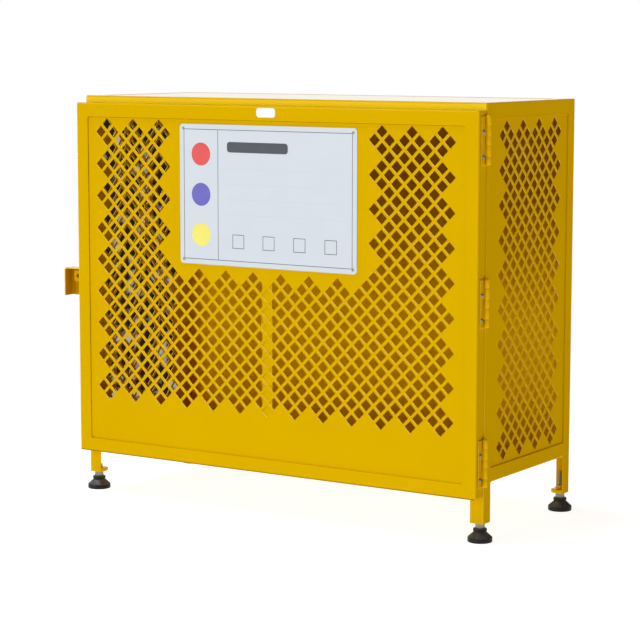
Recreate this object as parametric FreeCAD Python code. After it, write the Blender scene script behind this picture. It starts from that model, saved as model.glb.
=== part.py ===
import FreeCAD, Part
import math
import os

Vector = FreeCAD.Vector

# Storage cage for upright gas cylinders: an angle-iron cabinet clad in sheet steel, one side-hung
# door, diamond perforations in the door and both sides, a lock shroud and four levelling feet.
# Millimetres, +Z up, the door faces -Y, its hinges are on +X, and the origin lies on the ground
# under the middle of the overall box.

# Cabinet
cabinet_width = 1278.0
cabinet_depth = 490.0
cabinet_top = 1120.0
floor_rail_bottom = 152.0
leg_bottom = 49.0

# Angle iron and sheet, the same stock all over
angle_leg = 38.1
angle_wall = 3.2
angle_corner_radius = 4.0
sheet_thickness = 1.9

# Door
door_bottom = 118.0
door_height = 983.0
door_gap = 4.0
opening_corner_radius = 8.0
stiffener_width = 32.0
stiffener_thickness = 4.0

# Diamond perforation: square holes standing on their corners
hole_side = 22.6
hole_pitch = 44.45
field_side_margin = 20.0
field_end_margin = 3.5
door_plain_band = 105.0

# Sign plate on the door
sign_width = 565.0
sign_height = 378.0
sign_thickness = 1.5
sign_corner_radius = 10.0
sign_drop = 51.0
rivet_inset = 12.0
rivet_radius = 2.0
rivet_head_radius = 4.2
rivet_head_height = 1.4
rivet_tail_radius = 3.2
rivet_tail_height = 2.5

# Butt hinges
barrel_radius = 7.0
pin_radius = 3.5
pin_head_radius = 5.8
pin_head_height = 4.5
frame_knuckle = 21.6
door_knuckle = 28.6
hinge_leaf_width = 25.0
hinge_leaf_wall = 3.0
hinge_end_distance = 75.0
hinge_bottom_distance = 91.0
screw_spacing = 63.0
screw_drop = 9.5
screw_from_pin = 18.0
screw_radius = 2.5
screw_head_radius = 5.3
screw_crown_radius = 4.0
screw_head_height = 5.0
screw_nut_flats = 8.0
screw_nut_height = 4.0

# Hasp tab on the door and lock shroud on the cabinet
tab_reach = 43.0
tab_height = 31.5
tab_thickness = 4.0
tab_corner_radius = 6.0
lock_hole_radius = 6.0
lock_hole_reach = 30.0
shroud_reach = 62.0
shroud_height = 80.0
shroud_depth = 36.0
shroud_wall = 3.0
shroud_bend_radius = 8.0
shroud_above_tab = 9.5

# Levelling feet
foot_inset = 18.0
lug_reach = 40.0
lug_thickness = 10.0
lug_corner_radius = 14.0
foot_nut_flats = 19.0
foot_nut_height = 10.0
stud_radius = 5.8
stud_top = 108.0
stud_chamfer = 1.2
stud_hex_flats = 21.2
swivel_radius = 9.0
swivel_height = 7.0
pad_radius = 32.0
pad_height = 35.0
pad_rim_height = 13.0
pad_floor = 9.0
collar_radius = 18.0
collar_height = 10.0
collar_waist = 1.6
neck_clearance = 2.0

# Clearances
running_clearance = 0.08
fastener_clearance = 0.25
knuckle_gap = 0.3
face_gap = 0.2
socket_clearance = 0.3
shroud_door_clearance = 3.0

# Overall layout
door_width = cabinet_width
door_top = door_bottom + door_height
pad_overhang = pad_radius - foot_inset
left_overhang = max(shroud_reach, pad_overhang)
right_overhang = max(2.0 * barrel_radius, pad_overhang)
overall_width = left_overhang + cabinet_width + right_overhang
overall_depth = angle_leg + door_gap + cabinet_depth + pad_overhang
left = left_overhang - overall_width / 2.0
right = left + cabinet_width
middle = (left + right) / 2.0
door_front = -overall_depth / 2.0
door_back = door_front + angle_leg
front = door_back + door_gap
rear = front + cabinet_depth
sheet_front = door_front + angle_wall
sheet_back = sheet_front + sheet_thickness
tab_middle = door_bottom + door_height / 2.0

along_x = Vector(1, 0, 0)
along_y = Vector(0, 1, 0)
along_z = Vector(0, 0, 1)


def box(x_range, y_range, z_range):
    """Box between the two ends of each range."""
    low = Vector(x_range[0], y_range[0], z_range[0])
    high = Vector(x_range[1], y_range[1], z_range[1])
    size = high - low
    return Part.makeBox(size.x, size.y, size.z, low)


def rod(start, direction, radius, length):
    """Round bar from start along direction."""
    return Part.makeCylinder(radius, length, start, direction)


def polygon_face(points):
    """Flat face with straight edges through the points."""
    return Part.Face(Part.makePolygon(points + points[:1]))


def hexagon_bar(centre, direction, flats, length):
    """Hexagon bar, `flats` across its flats, from centre along direction."""
    corner_radius = flats / math.sqrt(3.0)
    turn = FreeCAD.Rotation(along_z, direction)
    points = []
    for step in range(6):
        angle = math.radians(60.0 * step)
        arm = Vector(corner_radius * math.cos(angle), corner_radius * math.sin(angle), 0)
        points.append(centre + turn.multVec(arm))
    return polygon_face(points).extrude(direction * length)


def rounded_plate(corner, across, up, width, height, radius, through):
    """Rectangular plate with four round corners, from its lower corner, extruded by `through`."""
    def at(a, b):
        return corner + across * a + up * b
    bulge = radius * (1.0 - math.sqrt(0.5))
    far, top = width, height
    edges = [
        Part.makeLine(at(radius, 0), at(far - radius, 0)),
        Part.Arc(at(far - radius, 0), at(far - bulge, bulge), at(far, radius)).toShape(),
        Part.makeLine(at(far, radius), at(far, top - radius)),
        Part.Arc(at(far, top - radius), at(far - bulge, top - bulge), at(far - radius, top)).toShape(),
        Part.makeLine(at(far - radius, top), at(radius, top)),
        Part.Arc(at(radius, top), at(bulge, top - bulge), at(0, top - radius)).toShape(),
        Part.makeLine(at(0, top - radius), at(0, radius)),
        Part.Arc(at(0, radius), at(bulge, bulge), at(radius, 0)).toShape(),
    ]
    return Part.Face(Part.Wire(edges)).extrude(through)


def angle_bar(corner, leg_a, leg_b, run):
    """Angle iron with its outside corner at `corner`, its legs along leg_a and leg_b, extruded by run."""
    def at(a, b):
        return corner + leg_a * a + leg_b * b
    radius = angle_corner_radius
    bulge = radius * (1.0 - math.sqrt(0.5))
    points = [
        at(0, radius),
        at(0, angle_leg),
        at(angle_wall, angle_leg),
        at(angle_wall, angle_wall),
        at(angle_leg, angle_wall),
        at(angle_leg, 0),
        at(radius, 0),
    ]
    edges = [Part.makeLine(start, end) for start, end in zip(points, points[1:])]
    edges.append(Part.Arc(at(radius, 0), at(bulge, bulge), at(0, radius)).toShape())
    return Part.Face(Part.Wire(edges)).extrude(run)


def mitred_frame(width, height):
    """Four angle-iron members mitred into a frame: face at z = 0, legs reaching down from its rim.

    They are returned in the order low Y, high X, high Y, low X.
    """
    half_width = width / 2.0
    half_height = height / 2.0
    block = box((-half_width, half_width), (-half_height, half_height), (-angle_leg, 0))
    rim = [edge for edge in block.Edges if edge.BoundBox.ZMax > -angle_leg / 2.0]
    block = block.makeFillet(angle_corner_radius, rim)
    inner_x = half_width - angle_wall
    inner_y = half_height - angle_wall
    block = block.cut(box((-inner_x, inner_x), (-inner_y, inner_y), (-angle_leg, -angle_wall)))
    opening = rounded_plate(
        Vector(angle_leg - half_width, angle_leg - half_height, -angle_leg), along_x, along_y,
        width - 2.0 * angle_leg, height - 2.0 * angle_leg, opening_corner_radius, along_z * angle_leg)
    ring = block.cut(opening)
    reach = angle_leg + opening_corner_radius
    outer = [(-1, -1), (1, -1), (1, 1), (-1, 1)]
    members = []
    for side in range(4):
        start = outer[side]
        end = outer[(side + 1) % 4]
        points = [Vector(sx * half_width, sy * half_height, -angle_leg) for sx, sy in (start, end)]
        points += [
            Vector(sx * (half_width - reach), sy * (half_height - reach), -angle_leg)
            for sx, sy in (end, start)
        ]
        wedge = polygon_face(points).extrude(along_z * angle_leg)
        members.append(ring.common(wedge).Solids[0])
    return members


def diamond_field(half_columns, rows):
    """Holes as (column, row) in half pitches from the middle of the top row.

    The first and last rows, and the outermost columns, hold only every other hole, as teeth.
    """
    holes = []
    for row in range(rows + 1):
        for column in range(-half_columns, half_columns + 1):
            staggered = (column + row) % 2 == 0
            end_gap = row in (0, rows) and (column - half_columns + 1) % 4 != 0
            side_gap = abs(column) == half_columns and row % 4 != 1
            if staggered and not end_gap and not side_gap:
                holes.append((column, row))
    return holes


def odd_columns(half_width):
    """Largest odd count of half pitches that keeps the hole centres within half_width."""
    return 2 * math.floor((half_width / (hole_pitch / 2.0) - 1.0) / 2.0) + 1


def toothed_rows(height):
    """Largest count of half-pitch rows, two more than a multiple of four, within a height."""
    return 4 * math.floor((height / (hole_pitch / 2.0) - 2.0) / 4.0) + 2


def perforated_sheet(corner, across, up, width, height, holes, round_holes, through):
    """Sheet with diamond holes at (a, b) places from its corner, and small round ones."""
    def at(a, b):
        return corner + across * a + up * b
    tip = hole_side / math.sqrt(2.0)
    wires = [Part.makePolygon([at(0, 0), at(width, 0), at(width, height), at(0, height), at(0, 0)])]
    for a, b in holes:
        corners = [at(a + tip, b), at(a, b + tip), at(a - tip, b), at(a, b - tip)]
        wires.append(Part.makePolygon(corners + corners[:1]))
    for a, b, radius in round_holes:
        wires.append(Part.Wire(Part.Circle(at(a, b), through, radius).toShape()))
    return Part.Face(wires).extrude(through)


# Cabinet frame

def posts():
    """Four corner angles, which run past the floor rails as legs."""
    run = along_z * (cabinet_top - angle_leg - leg_bottom)
    shapes = {}
    for y_name, y, into_y in (("front", front, along_y), ("rear", rear, -along_y)):
        for x_name, x, into_x in (("left", left, along_x), ("right", right, -along_x)):
            corner = Vector(x, y, leg_bottom)
            shapes[f"post_{y_name}_{x_name}"] = angle_bar(corner, into_x, into_y, run)
    return shapes


def top_rails():
    """Mitred top frame that stands on the posts and holds the roof sheet under its rim."""
    centre = Vector(middle, (front + rear) / 2.0, cabinet_top)
    names = ["top_rail_front", "top_rail_right", "top_rail_rear", "top_rail_left"]
    return {
        name: member.translated(centre)
        for name, member in zip(names, mitred_frame(cabinet_width, cabinet_depth))
    }


def bottom_rails():
    """Floor rails between the posts, with their inward legs lowest."""
    across = along_x * (cabinet_width - 2.0 * angle_leg)
    deep = along_y * (cabinet_depth - 2.0 * angle_leg)
    z = floor_rail_bottom
    return {
        "bottom_rail_front": angle_bar(Vector(left + angle_leg, front, z), along_z, along_y, across),
        "bottom_rail_rear": angle_bar(Vector(left + angle_leg, rear, z), along_z, -along_y, across),
        "bottom_rail_left": angle_bar(Vector(left, front + angle_leg, z), along_z, along_x, deep),
        "bottom_rail_right": angle_bar(Vector(right, front + angle_leg, z), along_z, -along_x, deep),
    }


# Cabinet sheets

sheet_bottom = floor_rail_bottom + angle_wall
roof_top = cabinet_top - angle_wall
roof_bottom = roof_top - sheet_thickness


def side_sheet(outer_face, inwards):
    """Perforated side sheet behind the posts' and rails' legs."""
    width = cabinet_depth - 2.0 * angle_wall
    height = roof_bottom - sheet_bottom
    tip = hole_side / math.sqrt(2.0)
    clear_width = cabinet_depth - 2.0 * angle_leg
    clear_bottom = floor_rail_bottom + angle_leg
    clear_height = cabinet_top - angle_leg - clear_bottom
    columns = odd_columns(clear_width / 2.0 - field_side_margin - tip)
    rows = toothed_rows(clear_height - 2.0 * field_end_margin - 2.0 * tip)
    step = hole_pitch / 2.0
    top_row = clear_bottom - sheet_bottom + (clear_height + rows * step) / 2.0
    holes = [(width / 2.0 + c * step, top_row - r * step) for c, r in diamond_field(columns, rows)]
    corner = Vector(outer_face, front + angle_wall, sheet_bottom)
    through = inwards * sheet_thickness
    return perforated_sheet(corner, along_y, along_z, width, height, holes, [], through)


def cabinet_sheets():
    """Perforated sides, and plain back, roof and floor sheets."""
    inner_left = left + angle_wall
    inner_right = right - angle_wall
    inner_front = front + angle_wall
    inner_rear = rear - angle_wall
    clad_left = inner_left + sheet_thickness
    clad_right = inner_right - sheet_thickness
    clad_rear = inner_rear - sheet_thickness
    wall = (sheet_bottom, roof_bottom)
    return {
        "side_sheet_left": side_sheet(inner_left, along_x),
        "side_sheet_right": side_sheet(inner_right, -along_x),
        "back_sheet": box((clad_left, clad_right), (clad_rear, inner_rear), wall),
        "roof_sheet": box((inner_left, inner_right), (inner_front, inner_rear), (roof_bottom, roof_top)),
        "floor_sheet": box((clad_left, clad_right), (inner_front, clad_rear),
                           (sheet_bottom, sheet_bottom + sheet_thickness)),
    }


# Door

def door_frame():
    """Mitred angle frame of the door, its face towards -Y."""
    turn = FreeCAD.Rotation(along_x, 90.0)
    place = FreeCAD.Placement(Vector(middle, door_front, tab_middle), turn)
    names = ["door_rail_bottom", "door_stile_right", "door_rail_top", "door_stile_left"]
    shapes = {}
    for name, member in zip(names, mitred_frame(door_width, door_height)):
        shapes[name] = member.transformGeometry(place.toMatrix())
    for z in screw_heights():
        bore = rod(Vector(right - 2.0 * angle_wall, screw_y, z), along_x,
                   screw_radius + fastener_clearance, 4.0 * angle_wall)
        shapes["door_stile_right"] = shapes["door_stile_right"].cut(bore)
    return shapes


def sign_rivet_places():
    """(x, z) of the four sign rivets."""
    reach_x = sign_width / 2.0 - rivet_inset
    low = sign_top - sign_height + rivet_inset
    high = sign_top - rivet_inset
    return [(middle + side * reach_x, z) for side in (-1, 1) for z in (low, high)]


def door_holes(columns, rows, top_row):
    """Hole places on the door, less the ones behind the sign plate."""
    step = hole_pitch / 2.0
    tip = hole_side / math.sqrt(2.0)
    blank_columns = odd_columns(sign_width / 2.0 + tip) + 2
    blank_rows = toothed_rows(top_row + tip - (sign_top - sign_height)) + 4
    kept = []
    for column, row in diamond_field(columns, rows):
        beside = abs(column) > blank_columns or (abs(column) == blank_columns and row % 4 == 1)
        tooth = row == blank_rows and (column - blank_columns + 1) % 4 == 0
        if beside or tooth or row > blank_rows:
            kept.append((middle + column * step, top_row - row * step))
    return kept


def door_sheet():
    """Perforated door sheet behind the frame's face, with holes for the sign rivets."""
    tip = hole_side / math.sqrt(2.0)
    clear_width = door_width - 2.0 * angle_leg
    clear_top = door_top - angle_leg
    clear_height = door_height - 2.0 * angle_leg
    columns = odd_columns(clear_width / 2.0 - field_side_margin - tip)
    rows = toothed_rows(clear_height - field_end_margin - door_plain_band - 2.0 * tip)
    top_row = clear_top - field_end_margin - tip
    corner = Vector(left + angle_wall, sheet_front, door_bottom + angle_wall)
    holes = [(x - corner.x, z - corner.z) for x, z in door_holes(columns, rows, top_row)]
    rivet_hole = rivet_radius + fastener_clearance
    rivets = [(x - corner.x, z - corner.z, rivet_hole) for x, z in sign_rivet_places()]
    return perforated_sheet(corner, along_x, along_z, door_width - 2.0 * angle_wall,
                            door_height - 2.0 * angle_wall, holes, rivets, along_y * sheet_thickness)


def door_stiffener():
    """Flat bar upright behind the middle of the door sheet."""
    half = stiffener_width / 2.0
    return box((middle - half, middle + half), (sheet_back, sheet_back + stiffener_thickness),
               (door_bottom + angle_wall, door_top - angle_wall))


sign_top = door_top - sign_drop


def sign_plate():
    """Plain sign plate with round corners and four rivet holes, flat on the door sheet."""
    corner = Vector(middle - sign_width / 2.0, sheet_front, sign_top - sign_height)
    plate = rounded_plate(corner, along_x, along_z, sign_width, sign_height, sign_corner_radius,
                          -along_y * sign_thickness)
    for x, z in sign_rivet_places():
        plate = plate.cut(rod(Vector(x, sheet_back, z), -along_y,
                              rivet_radius + fastener_clearance, 2.0 * sheet_thickness + sign_thickness))
    return plate


def sign_rivets():
    """Four rivets through the sign plate and the door sheet."""
    grip = sign_thickness + sheet_thickness
    rivets = []
    for x, z in sign_rivet_places():
        seat = Vector(x, sheet_front - sign_thickness, z)
        head = Part.makeCone(rivet_head_radius, rivet_radius, rivet_head_height, seat, -along_y)
        shank = rod(seat, along_y, rivet_radius, grip)
        tail = rod(seat + along_y * grip, along_y, rivet_tail_radius, rivet_tail_height)
        rivets.append(head.fuse([shank, tail]).removeSplitter())
    return Part.makeCompound(rivets)


# Hinges

pin_x = right + barrel_radius
pin_y = front - barrel_radius
screw_y = pin_y - screw_from_pin
hinge_length = 3.0 * frame_knuckle + 2.0 * door_knuckle


def hinge_middles():
    """Name and mid-height of each hinge, the middle one halfway between the other two."""
    high = door_top - hinge_end_distance
    low = door_bottom + hinge_bottom_distance
    return [("top", high), ("middle", (high + low) / 2.0), ("bottom", low)]


def hinge_screw_heights(z_middle):
    """Heights of the two screws of the hinge with this middle, set a little low on its leaf."""
    centre = z_middle - screw_drop
    return [centre - screw_spacing / 2.0, centre + screw_spacing / 2.0]


def screw_heights():
    """Heights of all the hinge screws."""
    heights = []
    for _, z in hinge_middles():
        heights += hinge_screw_heights(z)
    return heights


def knuckle_spans(z_middle):
    """Height ranges of the frame leaf's and the door leaf's knuckles, from the bottom up."""
    frame_spans = []
    door_spans = []
    low = z_middle - hinge_length / 2.0
    for index in range(5):
        length = door_knuckle if index % 2 else frame_knuckle
        span = (low + knuckle_gap / 2.0, low + length - knuckle_gap / 2.0)
        (door_spans if index % 2 else frame_spans).append(span)
        low += length
    return frame_spans, door_spans


def hinge_leaf(z_middle, plate, own_spans, other_spans):
    """Leaf plate with its own knuckles rolled on, cut clear of the other leaf's knuckles."""
    relief = barrel_radius + knuckle_gap
    for low, high in other_spans:
        gap = (low - knuckle_gap, high + knuckle_gap)
        plate = plate.cut(box((pin_x - relief, pin_x + relief), (pin_y - relief, pin_y + relief), gap))
    for low, high in own_spans:
        plate = plate.fuse(rod(Vector(pin_x, pin_y, low), along_z, barrel_radius, high - low))
    bore = rod(Vector(pin_x, pin_y, z_middle - hinge_length), along_z,
               pin_radius + running_clearance, 2.0 * hinge_length)
    return plate.cut(bore).removeSplitter()


def hinges():
    """Three butt hinges: frame leaf on the cabinet's face, door leaf on the door's outer side, and pin."""
    shapes = {}
    for name, z in hinge_middles():
        frame_spans, door_spans = knuckle_spans(z)
        height = (z - hinge_length / 2.0 + knuckle_gap / 2.0, z + hinge_length / 2.0 - knuckle_gap / 2.0)
        frame_plate = box((pin_x - hinge_leaf_width, pin_x), (front - hinge_leaf_wall, front), height)
        door_plate = box((right, right + hinge_leaf_wall), (pin_y - hinge_leaf_width, pin_y), height)
        for screw_z in hinge_screw_heights(z):
            bore = rod(Vector(right - hinge_leaf_wall, screw_y, screw_z), along_x,
                       screw_radius + fastener_clearance, 3.0 * hinge_leaf_wall)
            door_plate = door_plate.cut(bore)
        shapes[f"hinge_frame_leaf_{name}"] = hinge_leaf(z, frame_plate, frame_spans, door_spans)
        shapes[f"hinge_door_leaf_{name}"] = hinge_leaf(z, door_plate, door_spans, frame_spans)
        shapes[f"hinge_pin_{name}"] = hinge_pin(*height)
    return shapes


def hinge_pin(low, high):
    """Pin through the barrel with a bevelled head resting on the top knuckle."""
    shank = rod(Vector(pin_x, pin_y, low), along_z, pin_radius, high - low)
    head = Part.makeCone(pin_head_radius, pin_radius, pin_head_height, Vector(pin_x, pin_y, high))
    return shank.fuse(head).removeSplitter()


def hinge_screws():
    """Screws with bevelled heads through the door leaves and the door's right stile."""
    length = hinge_leaf_wall + angle_wall + screw_nut_height
    screws = []
    for z in screw_heights():
        seat = Vector(right + hinge_leaf_wall, screw_y, z)
        head = Part.makeCone(screw_head_radius, screw_crown_radius, screw_head_height, seat, along_x)
        screws.append(head.fuse(rod(seat, -along_x, screw_radius, length)).removeSplitter())
    return Part.makeCompound(screws)


def hinge_nuts():
    """Hexagon nuts on the screws, inside the stile."""
    nuts = []
    for z in screw_heights():
        seat = Vector(right - angle_wall, screw_y, z)
        nut = hexagon_bar(seat, -along_x, screw_nut_flats, screw_nut_height)
        bore = rod(seat, -along_x, screw_radius + fastener_clearance, screw_nut_height)
        nuts.append(nut.cut(bore))
    return Part.makeCompound(nuts)


# Lock

lock_x = left - lock_hole_reach


def hasp_tab():
    """Tab welded to the outer side of the door's left stile, with the padlock hole."""
    corner = Vector(left - tab_reach, door_back, tab_middle - tab_height / 2.0)
    plate = rounded_plate(corner, along_x, along_z, tab_reach + tab_corner_radius, tab_height,
                          tab_corner_radius, -along_y * tab_thickness)
    plate = plate.common(box((left - tab_reach, left), (door_back - tab_thickness, door_back),
                             (tab_middle - tab_height, tab_middle + tab_height)))
    bore = rod(Vector(lock_x, door_back, tab_middle), -along_y, lock_hole_radius, tab_thickness)
    return plate.cut(bore).Solids[0]


def bent_corner(x_range, y_range, z_range, radius):
    """Box whose edges round its corner at low X, high Y and high Z are bent to a radius."""
    block = box(x_range, y_range, z_range)
    bends = [
        edge for edge in block.Edges
        if sum((edge.BoundBox.XMax < x_range[1] - 1.0, edge.BoundBox.YMin > y_range[0] + 1.0,
                edge.BoundBox.ZMin > z_range[0] + 1.0)) == 2
    ]
    return block.makeFillet(radius, bends)


def lock_shroud():
    """Bent guard on the left front post: back plate with the padlock hole, top and outer flanges."""
    back_front = front + angle_corner_radius
    back_rear = back_front + shroud_wall
    top = tab_middle + tab_height / 2.0 + shroud_above_tab
    bottom = top - shroud_height
    outer = left - shroud_reach
    open_front = back_rear - shroud_depth
    guard = bent_corner((outer, left), (open_front, back_rear), (bottom, top), shroud_bend_radius)
    hollow = bent_corner((outer + shroud_wall, left), (open_front, back_front), (bottom, top - shroud_wall),
                         shroud_bend_radius - shroud_wall)
    door_side = box((left - shroud_door_clearance, left), (open_front, front), (bottom, top))
    bore = rod(Vector(lock_x, back_front, tab_middle), along_y, lock_hole_radius, shroud_wall)
    return guard.cut(hollow).cut(door_side).cut(bore).Solids[0]


# Levelling feet

def foot_places():
    """Name, stud axis and inward directions of each foot."""
    places = []
    for y_name, y, into_y in (("front", front, 1.0), ("rear", rear, -1.0)):
        for x_name, x, into_x in (("left", left, 1.0), ("right", right, -1.0)):
            places.append((f"{y_name}_{x_name}", Vector(x, y, 0), into_x, into_y))
    return places


def stud_axis(corner, into_x, into_y):
    """Point on the ground under the stud of a post with this outer corner."""
    return corner + Vector(into_x * foot_inset, into_y * foot_inset, 0)


def foot_lug(corner, into_x, into_y):
    """Thick plate in the foot of the angle, with its free corner rounded and a hole for the stud."""
    def at(a, b):
        return Vector(corner.x + into_x * a, corner.y + into_y * b, leg_bottom)
    bulge = lug_corner_radius * (1.0 - math.sqrt(0.5))
    low = angle_wall
    high = lug_reach
    turn = high - lug_corner_radius
    edges = [
        Part.makeLine(at(low, low), at(high, low)),
        Part.makeLine(at(high, low), at(high, turn)),
        Part.Arc(at(high, turn), at(high - bulge, high - bulge), at(turn, high)).toShape(),
        Part.makeLine(at(turn, high), at(low, high)),
        Part.makeLine(at(low, high), at(low, low)),
    ]
    plate = Part.Face(Part.Wire(edges)).extrude(along_z * lug_thickness)
    axis = stud_axis(corner, into_x, into_y)
    return plate.cut(rod(axis, along_z, stud_radius + running_clearance, cabinet_top))


def foot_nut(axis):
    """Weld nut on top of the lug."""
    seat = axis + along_z * (leg_bottom + lug_thickness)
    nut = hexagon_bar(seat, along_z, foot_nut_flats, foot_nut_height)
    return nut.cut(rod(seat, along_z, stud_radius + running_clearance, foot_nut_height))


def foot_stud(axis):
    """Levelling stud: swivel end, spanner hexagon that stops under the lug, and the threaded rod."""
    hex_bottom = pad_height + socket_clearance
    hex_top = leg_bottom - face_gap
    swivel = rod(axis + along_z * (pad_floor + face_gap), along_z, swivel_radius, swivel_height)
    neck = rod(axis + along_z * (pad_floor + swivel_height), along_z, stud_radius,
               hex_bottom - pad_floor - swivel_height)
    spanner = hexagon_bar(axis + along_z * hex_bottom, along_z, stud_hex_flats, hex_top - hex_bottom)
    shank = rod(axis + along_z * hex_top, along_z, stud_radius, stud_top - stud_chamfer - hex_top)
    tip = Part.makeCone(stud_radius, stud_radius - stud_chamfer, stud_chamfer,
                        axis + along_z * (stud_top - stud_chamfer))
    return swivel.fuse([neck, spanner, shank, tip]).removeSplitter()


def foot_pad(axis):
    """Turned pad: flat base with a rim, cone and collar, with a socket that traps the stud's swivel."""
    cone_top = pad_height - collar_height
    socket_radius = swivel_radius + socket_clearance
    socket_top = pad_floor + swivel_height + socket_clearance + face_gap
    mouth_radius = stud_radius + neck_clearance
    points = [
        Vector(0, 0, 0),
        Vector(pad_radius, 0, 0),
        Vector(pad_radius, 0, pad_rim_height),
        Vector(collar_radius - collar_waist, 0, cone_top),
        Vector(collar_radius, 0, cone_top + collar_waist),
        Vector(collar_radius, 0, pad_height),
        Vector(mouth_radius, 0, pad_height),
        Vector(mouth_radius, 0, socket_top),
        Vector(socket_radius, 0, socket_top),
        Vector(socket_radius, 0, pad_floor),
        Vector(0, 0, pad_floor),
    ]
    return polygon_face(points).revolve(Vector(0, 0, 0), along_z, 360.0).translated(axis)


def feet():
    """Lug, stud and pad of each foot, and the four weld nuts as one group."""
    shapes = {}
    nuts = []
    for name, corner, into_x, into_y in foot_places():
        axis = stud_axis(corner, into_x, into_y)
        shapes[f"foot_lug_{name}"] = foot_lug(corner, into_x, into_y)
        shapes[f"foot_stud_{name}"] = foot_stud(axis)
        shapes[f"foot_pad_{name}"] = foot_pad(axis)
        nuts.append(foot_nut(axis))
    shapes["foot_nuts"] = Part.makeCompound(nuts)
    return shapes


def build():
    """Every piece of the cage by name."""
    pieces = {}
    for group in (posts, top_rails, bottom_rails, cabinet_sheets, door_frame, hinges, feet):
        pieces.update(group())
    for piece in (door_sheet, door_stiffener, sign_plate, sign_rivets, hinge_screws, hinge_nuts,
                  hasp_tab, lock_shroud):
        pieces[piece.__name__] = piece()
    return pieces


os.makedirs("parts", exist_ok=True)
for node, shape in build().items():
    shape.exportStep(f"parts/{node}.step")
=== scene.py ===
"""Looks of a storage cage for gas cylinders: finishes, perforated sheets, hardware, welds and studio.

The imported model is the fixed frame. Every piece made here is in metres in that frame, sits at the
origin with its place in its mesh, and rides on one of the frame's bodies.
"""

import logging
import math
from dataclasses import dataclass, field
from enum import Enum, IntEnum
from typing import Any, Callable, Sequence

import bmesh
import bpy
from mathutils import Matrix, Vector


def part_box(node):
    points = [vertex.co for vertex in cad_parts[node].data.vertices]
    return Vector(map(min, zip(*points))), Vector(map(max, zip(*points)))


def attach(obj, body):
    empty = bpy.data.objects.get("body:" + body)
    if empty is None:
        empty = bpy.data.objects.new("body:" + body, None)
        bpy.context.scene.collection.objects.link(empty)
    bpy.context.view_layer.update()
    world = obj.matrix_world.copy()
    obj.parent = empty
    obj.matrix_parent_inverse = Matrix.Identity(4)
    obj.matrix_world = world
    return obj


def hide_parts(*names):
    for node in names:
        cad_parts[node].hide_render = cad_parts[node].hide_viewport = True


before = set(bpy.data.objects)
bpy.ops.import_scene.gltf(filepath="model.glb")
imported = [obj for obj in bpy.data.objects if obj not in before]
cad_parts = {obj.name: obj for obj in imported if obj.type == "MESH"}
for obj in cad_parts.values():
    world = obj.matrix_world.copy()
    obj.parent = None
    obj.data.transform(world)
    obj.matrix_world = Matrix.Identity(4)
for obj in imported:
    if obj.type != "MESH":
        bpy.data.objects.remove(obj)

MM = 0.001
log = logging.getLogger("cage")

Point = tuple[float, float]
Range = tuple[float, float]
Triple = tuple[float, float, float]

# Corners of a mesh that are nearer than this are one corner.
MERGE_MM = 0.01
# Least part of a unit normal along an axis for a face that is square to it, and for one that faces it.
SQUARE_ON = 0.999
FACING = 0.9
# Faces that meet at less than the first angle shade as one, and edges above the second are rounded.
SMOOTH_BELOW_DEG = 35.0
SOFTEN_ABOVE_DEG = 40.0
EDGE_SEGMENTS = 2
# Sockets of a colour Mix node, whose names repeat: the share, both colours and the result.
SHARE, FIRST, SECOND, MIXED = 0, 6, 7, 2
WHITE = "#FFFFFF"


class Body(str, Enum):
    """Bodies of the frame that several pieces ride on."""

    CABINET = "cabinet"
    DOOR = "door"


class Slot(str, Enum):
    """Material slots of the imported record."""

    ENAMEL = "yellow_enamel"
    ZINC = "zinc_plated_steel"
    SIGN = "white_sign_plate"
    RUBBER = "black_rubber"


class Corner(str, Enum):
    """Corners of the cabinet, each with a post and a levelling foot."""

    FRONT_LEFT = "front_left"
    FRONT_RIGHT = "front_right"
    REAR_LEFT = "rear_left"
    REAR_RIGHT = "rear_right"


class Level(str, Enum):
    """Heights at which the door has a hinge."""

    TOP = "top"
    MIDDLE = "middle"
    BOTTOM = "bottom"


class Surface(IntEnum):
    """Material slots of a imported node, in the order of its coats."""

    FLAT = 0
    EDGE = 1
    BEND = 2
    TOP = 3


class SheetSurface(IntEnum):
    """Material slots of a perforated sheet."""

    FACE = 0
    LIT_WALL = 1
    DARK_WALL = 2
    EDGE = 3


# Shared helpers

def linear(hex_colour: str) -> tuple[float, float, float, float]:
    """Turns an sRGB hex colour into linear RGBA.

    Args:
        hex_colour: Six hex digits after a hash sign.

    Returns:
        Linear red, green and blue with an alpha of one.
    """
    channels = [int(hex_colour[at:at + 2], 16) / 255.0 for at in (1, 3, 5)]
    curve = [c / 12.92 if c <= 0.04045 else ((c + 0.055) / 1.055) ** 2.4 for c in channels]
    return (*curve, 1.0)


def per_metre(size_mm: float) -> float:
    """Pattern scale on object coordinates for a feature of this size."""
    return 1.0 / (size_mm * MM)


def add_node(tree: bpy.types.NodeTree, kind: str, inputs: dict[Any, Any] | None = None,
             **settings: Any) -> bpy.types.Node:
    """Adds a node with its settings, values and links.

    Args:
        tree: Shader or geometry tree that gets the node.
        kind: Type name of the node.
        inputs: Input name or index to a value, an output socket or a list of output sockets.
        settings: Properties of the node itself.

    Returns:
        The new node.
    """
    node = tree.nodes.new(kind)
    for name, value in settings.items():
        setattr(node, name, value)
    for key, value in (inputs or {}).items():
        if isinstance(value, (bpy.types.NodeSocket, list)):
            for socket in value if isinstance(value, list) else [value]:
                tree.links.new(socket, node.inputs[key])
        else:
            node.inputs[key].default_value = value
    return node


def middle_of(node: str) -> Vector:
    """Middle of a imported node's box."""
    low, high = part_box(node)
    return (low + high) / 2.0


def new_object(name: str, mesh: bpy.types.Mesh) -> bpy.types.Object:
    """Puts a mesh in the scene.

    Args:
        name: Name of the object.
        mesh: The mesh, with its place in it.

    Returns:
        An object at the origin.
    """
    made = bpy.data.objects.new(name, mesh)
    bpy.context.scene.collection.objects.link(made)
    return made


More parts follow.
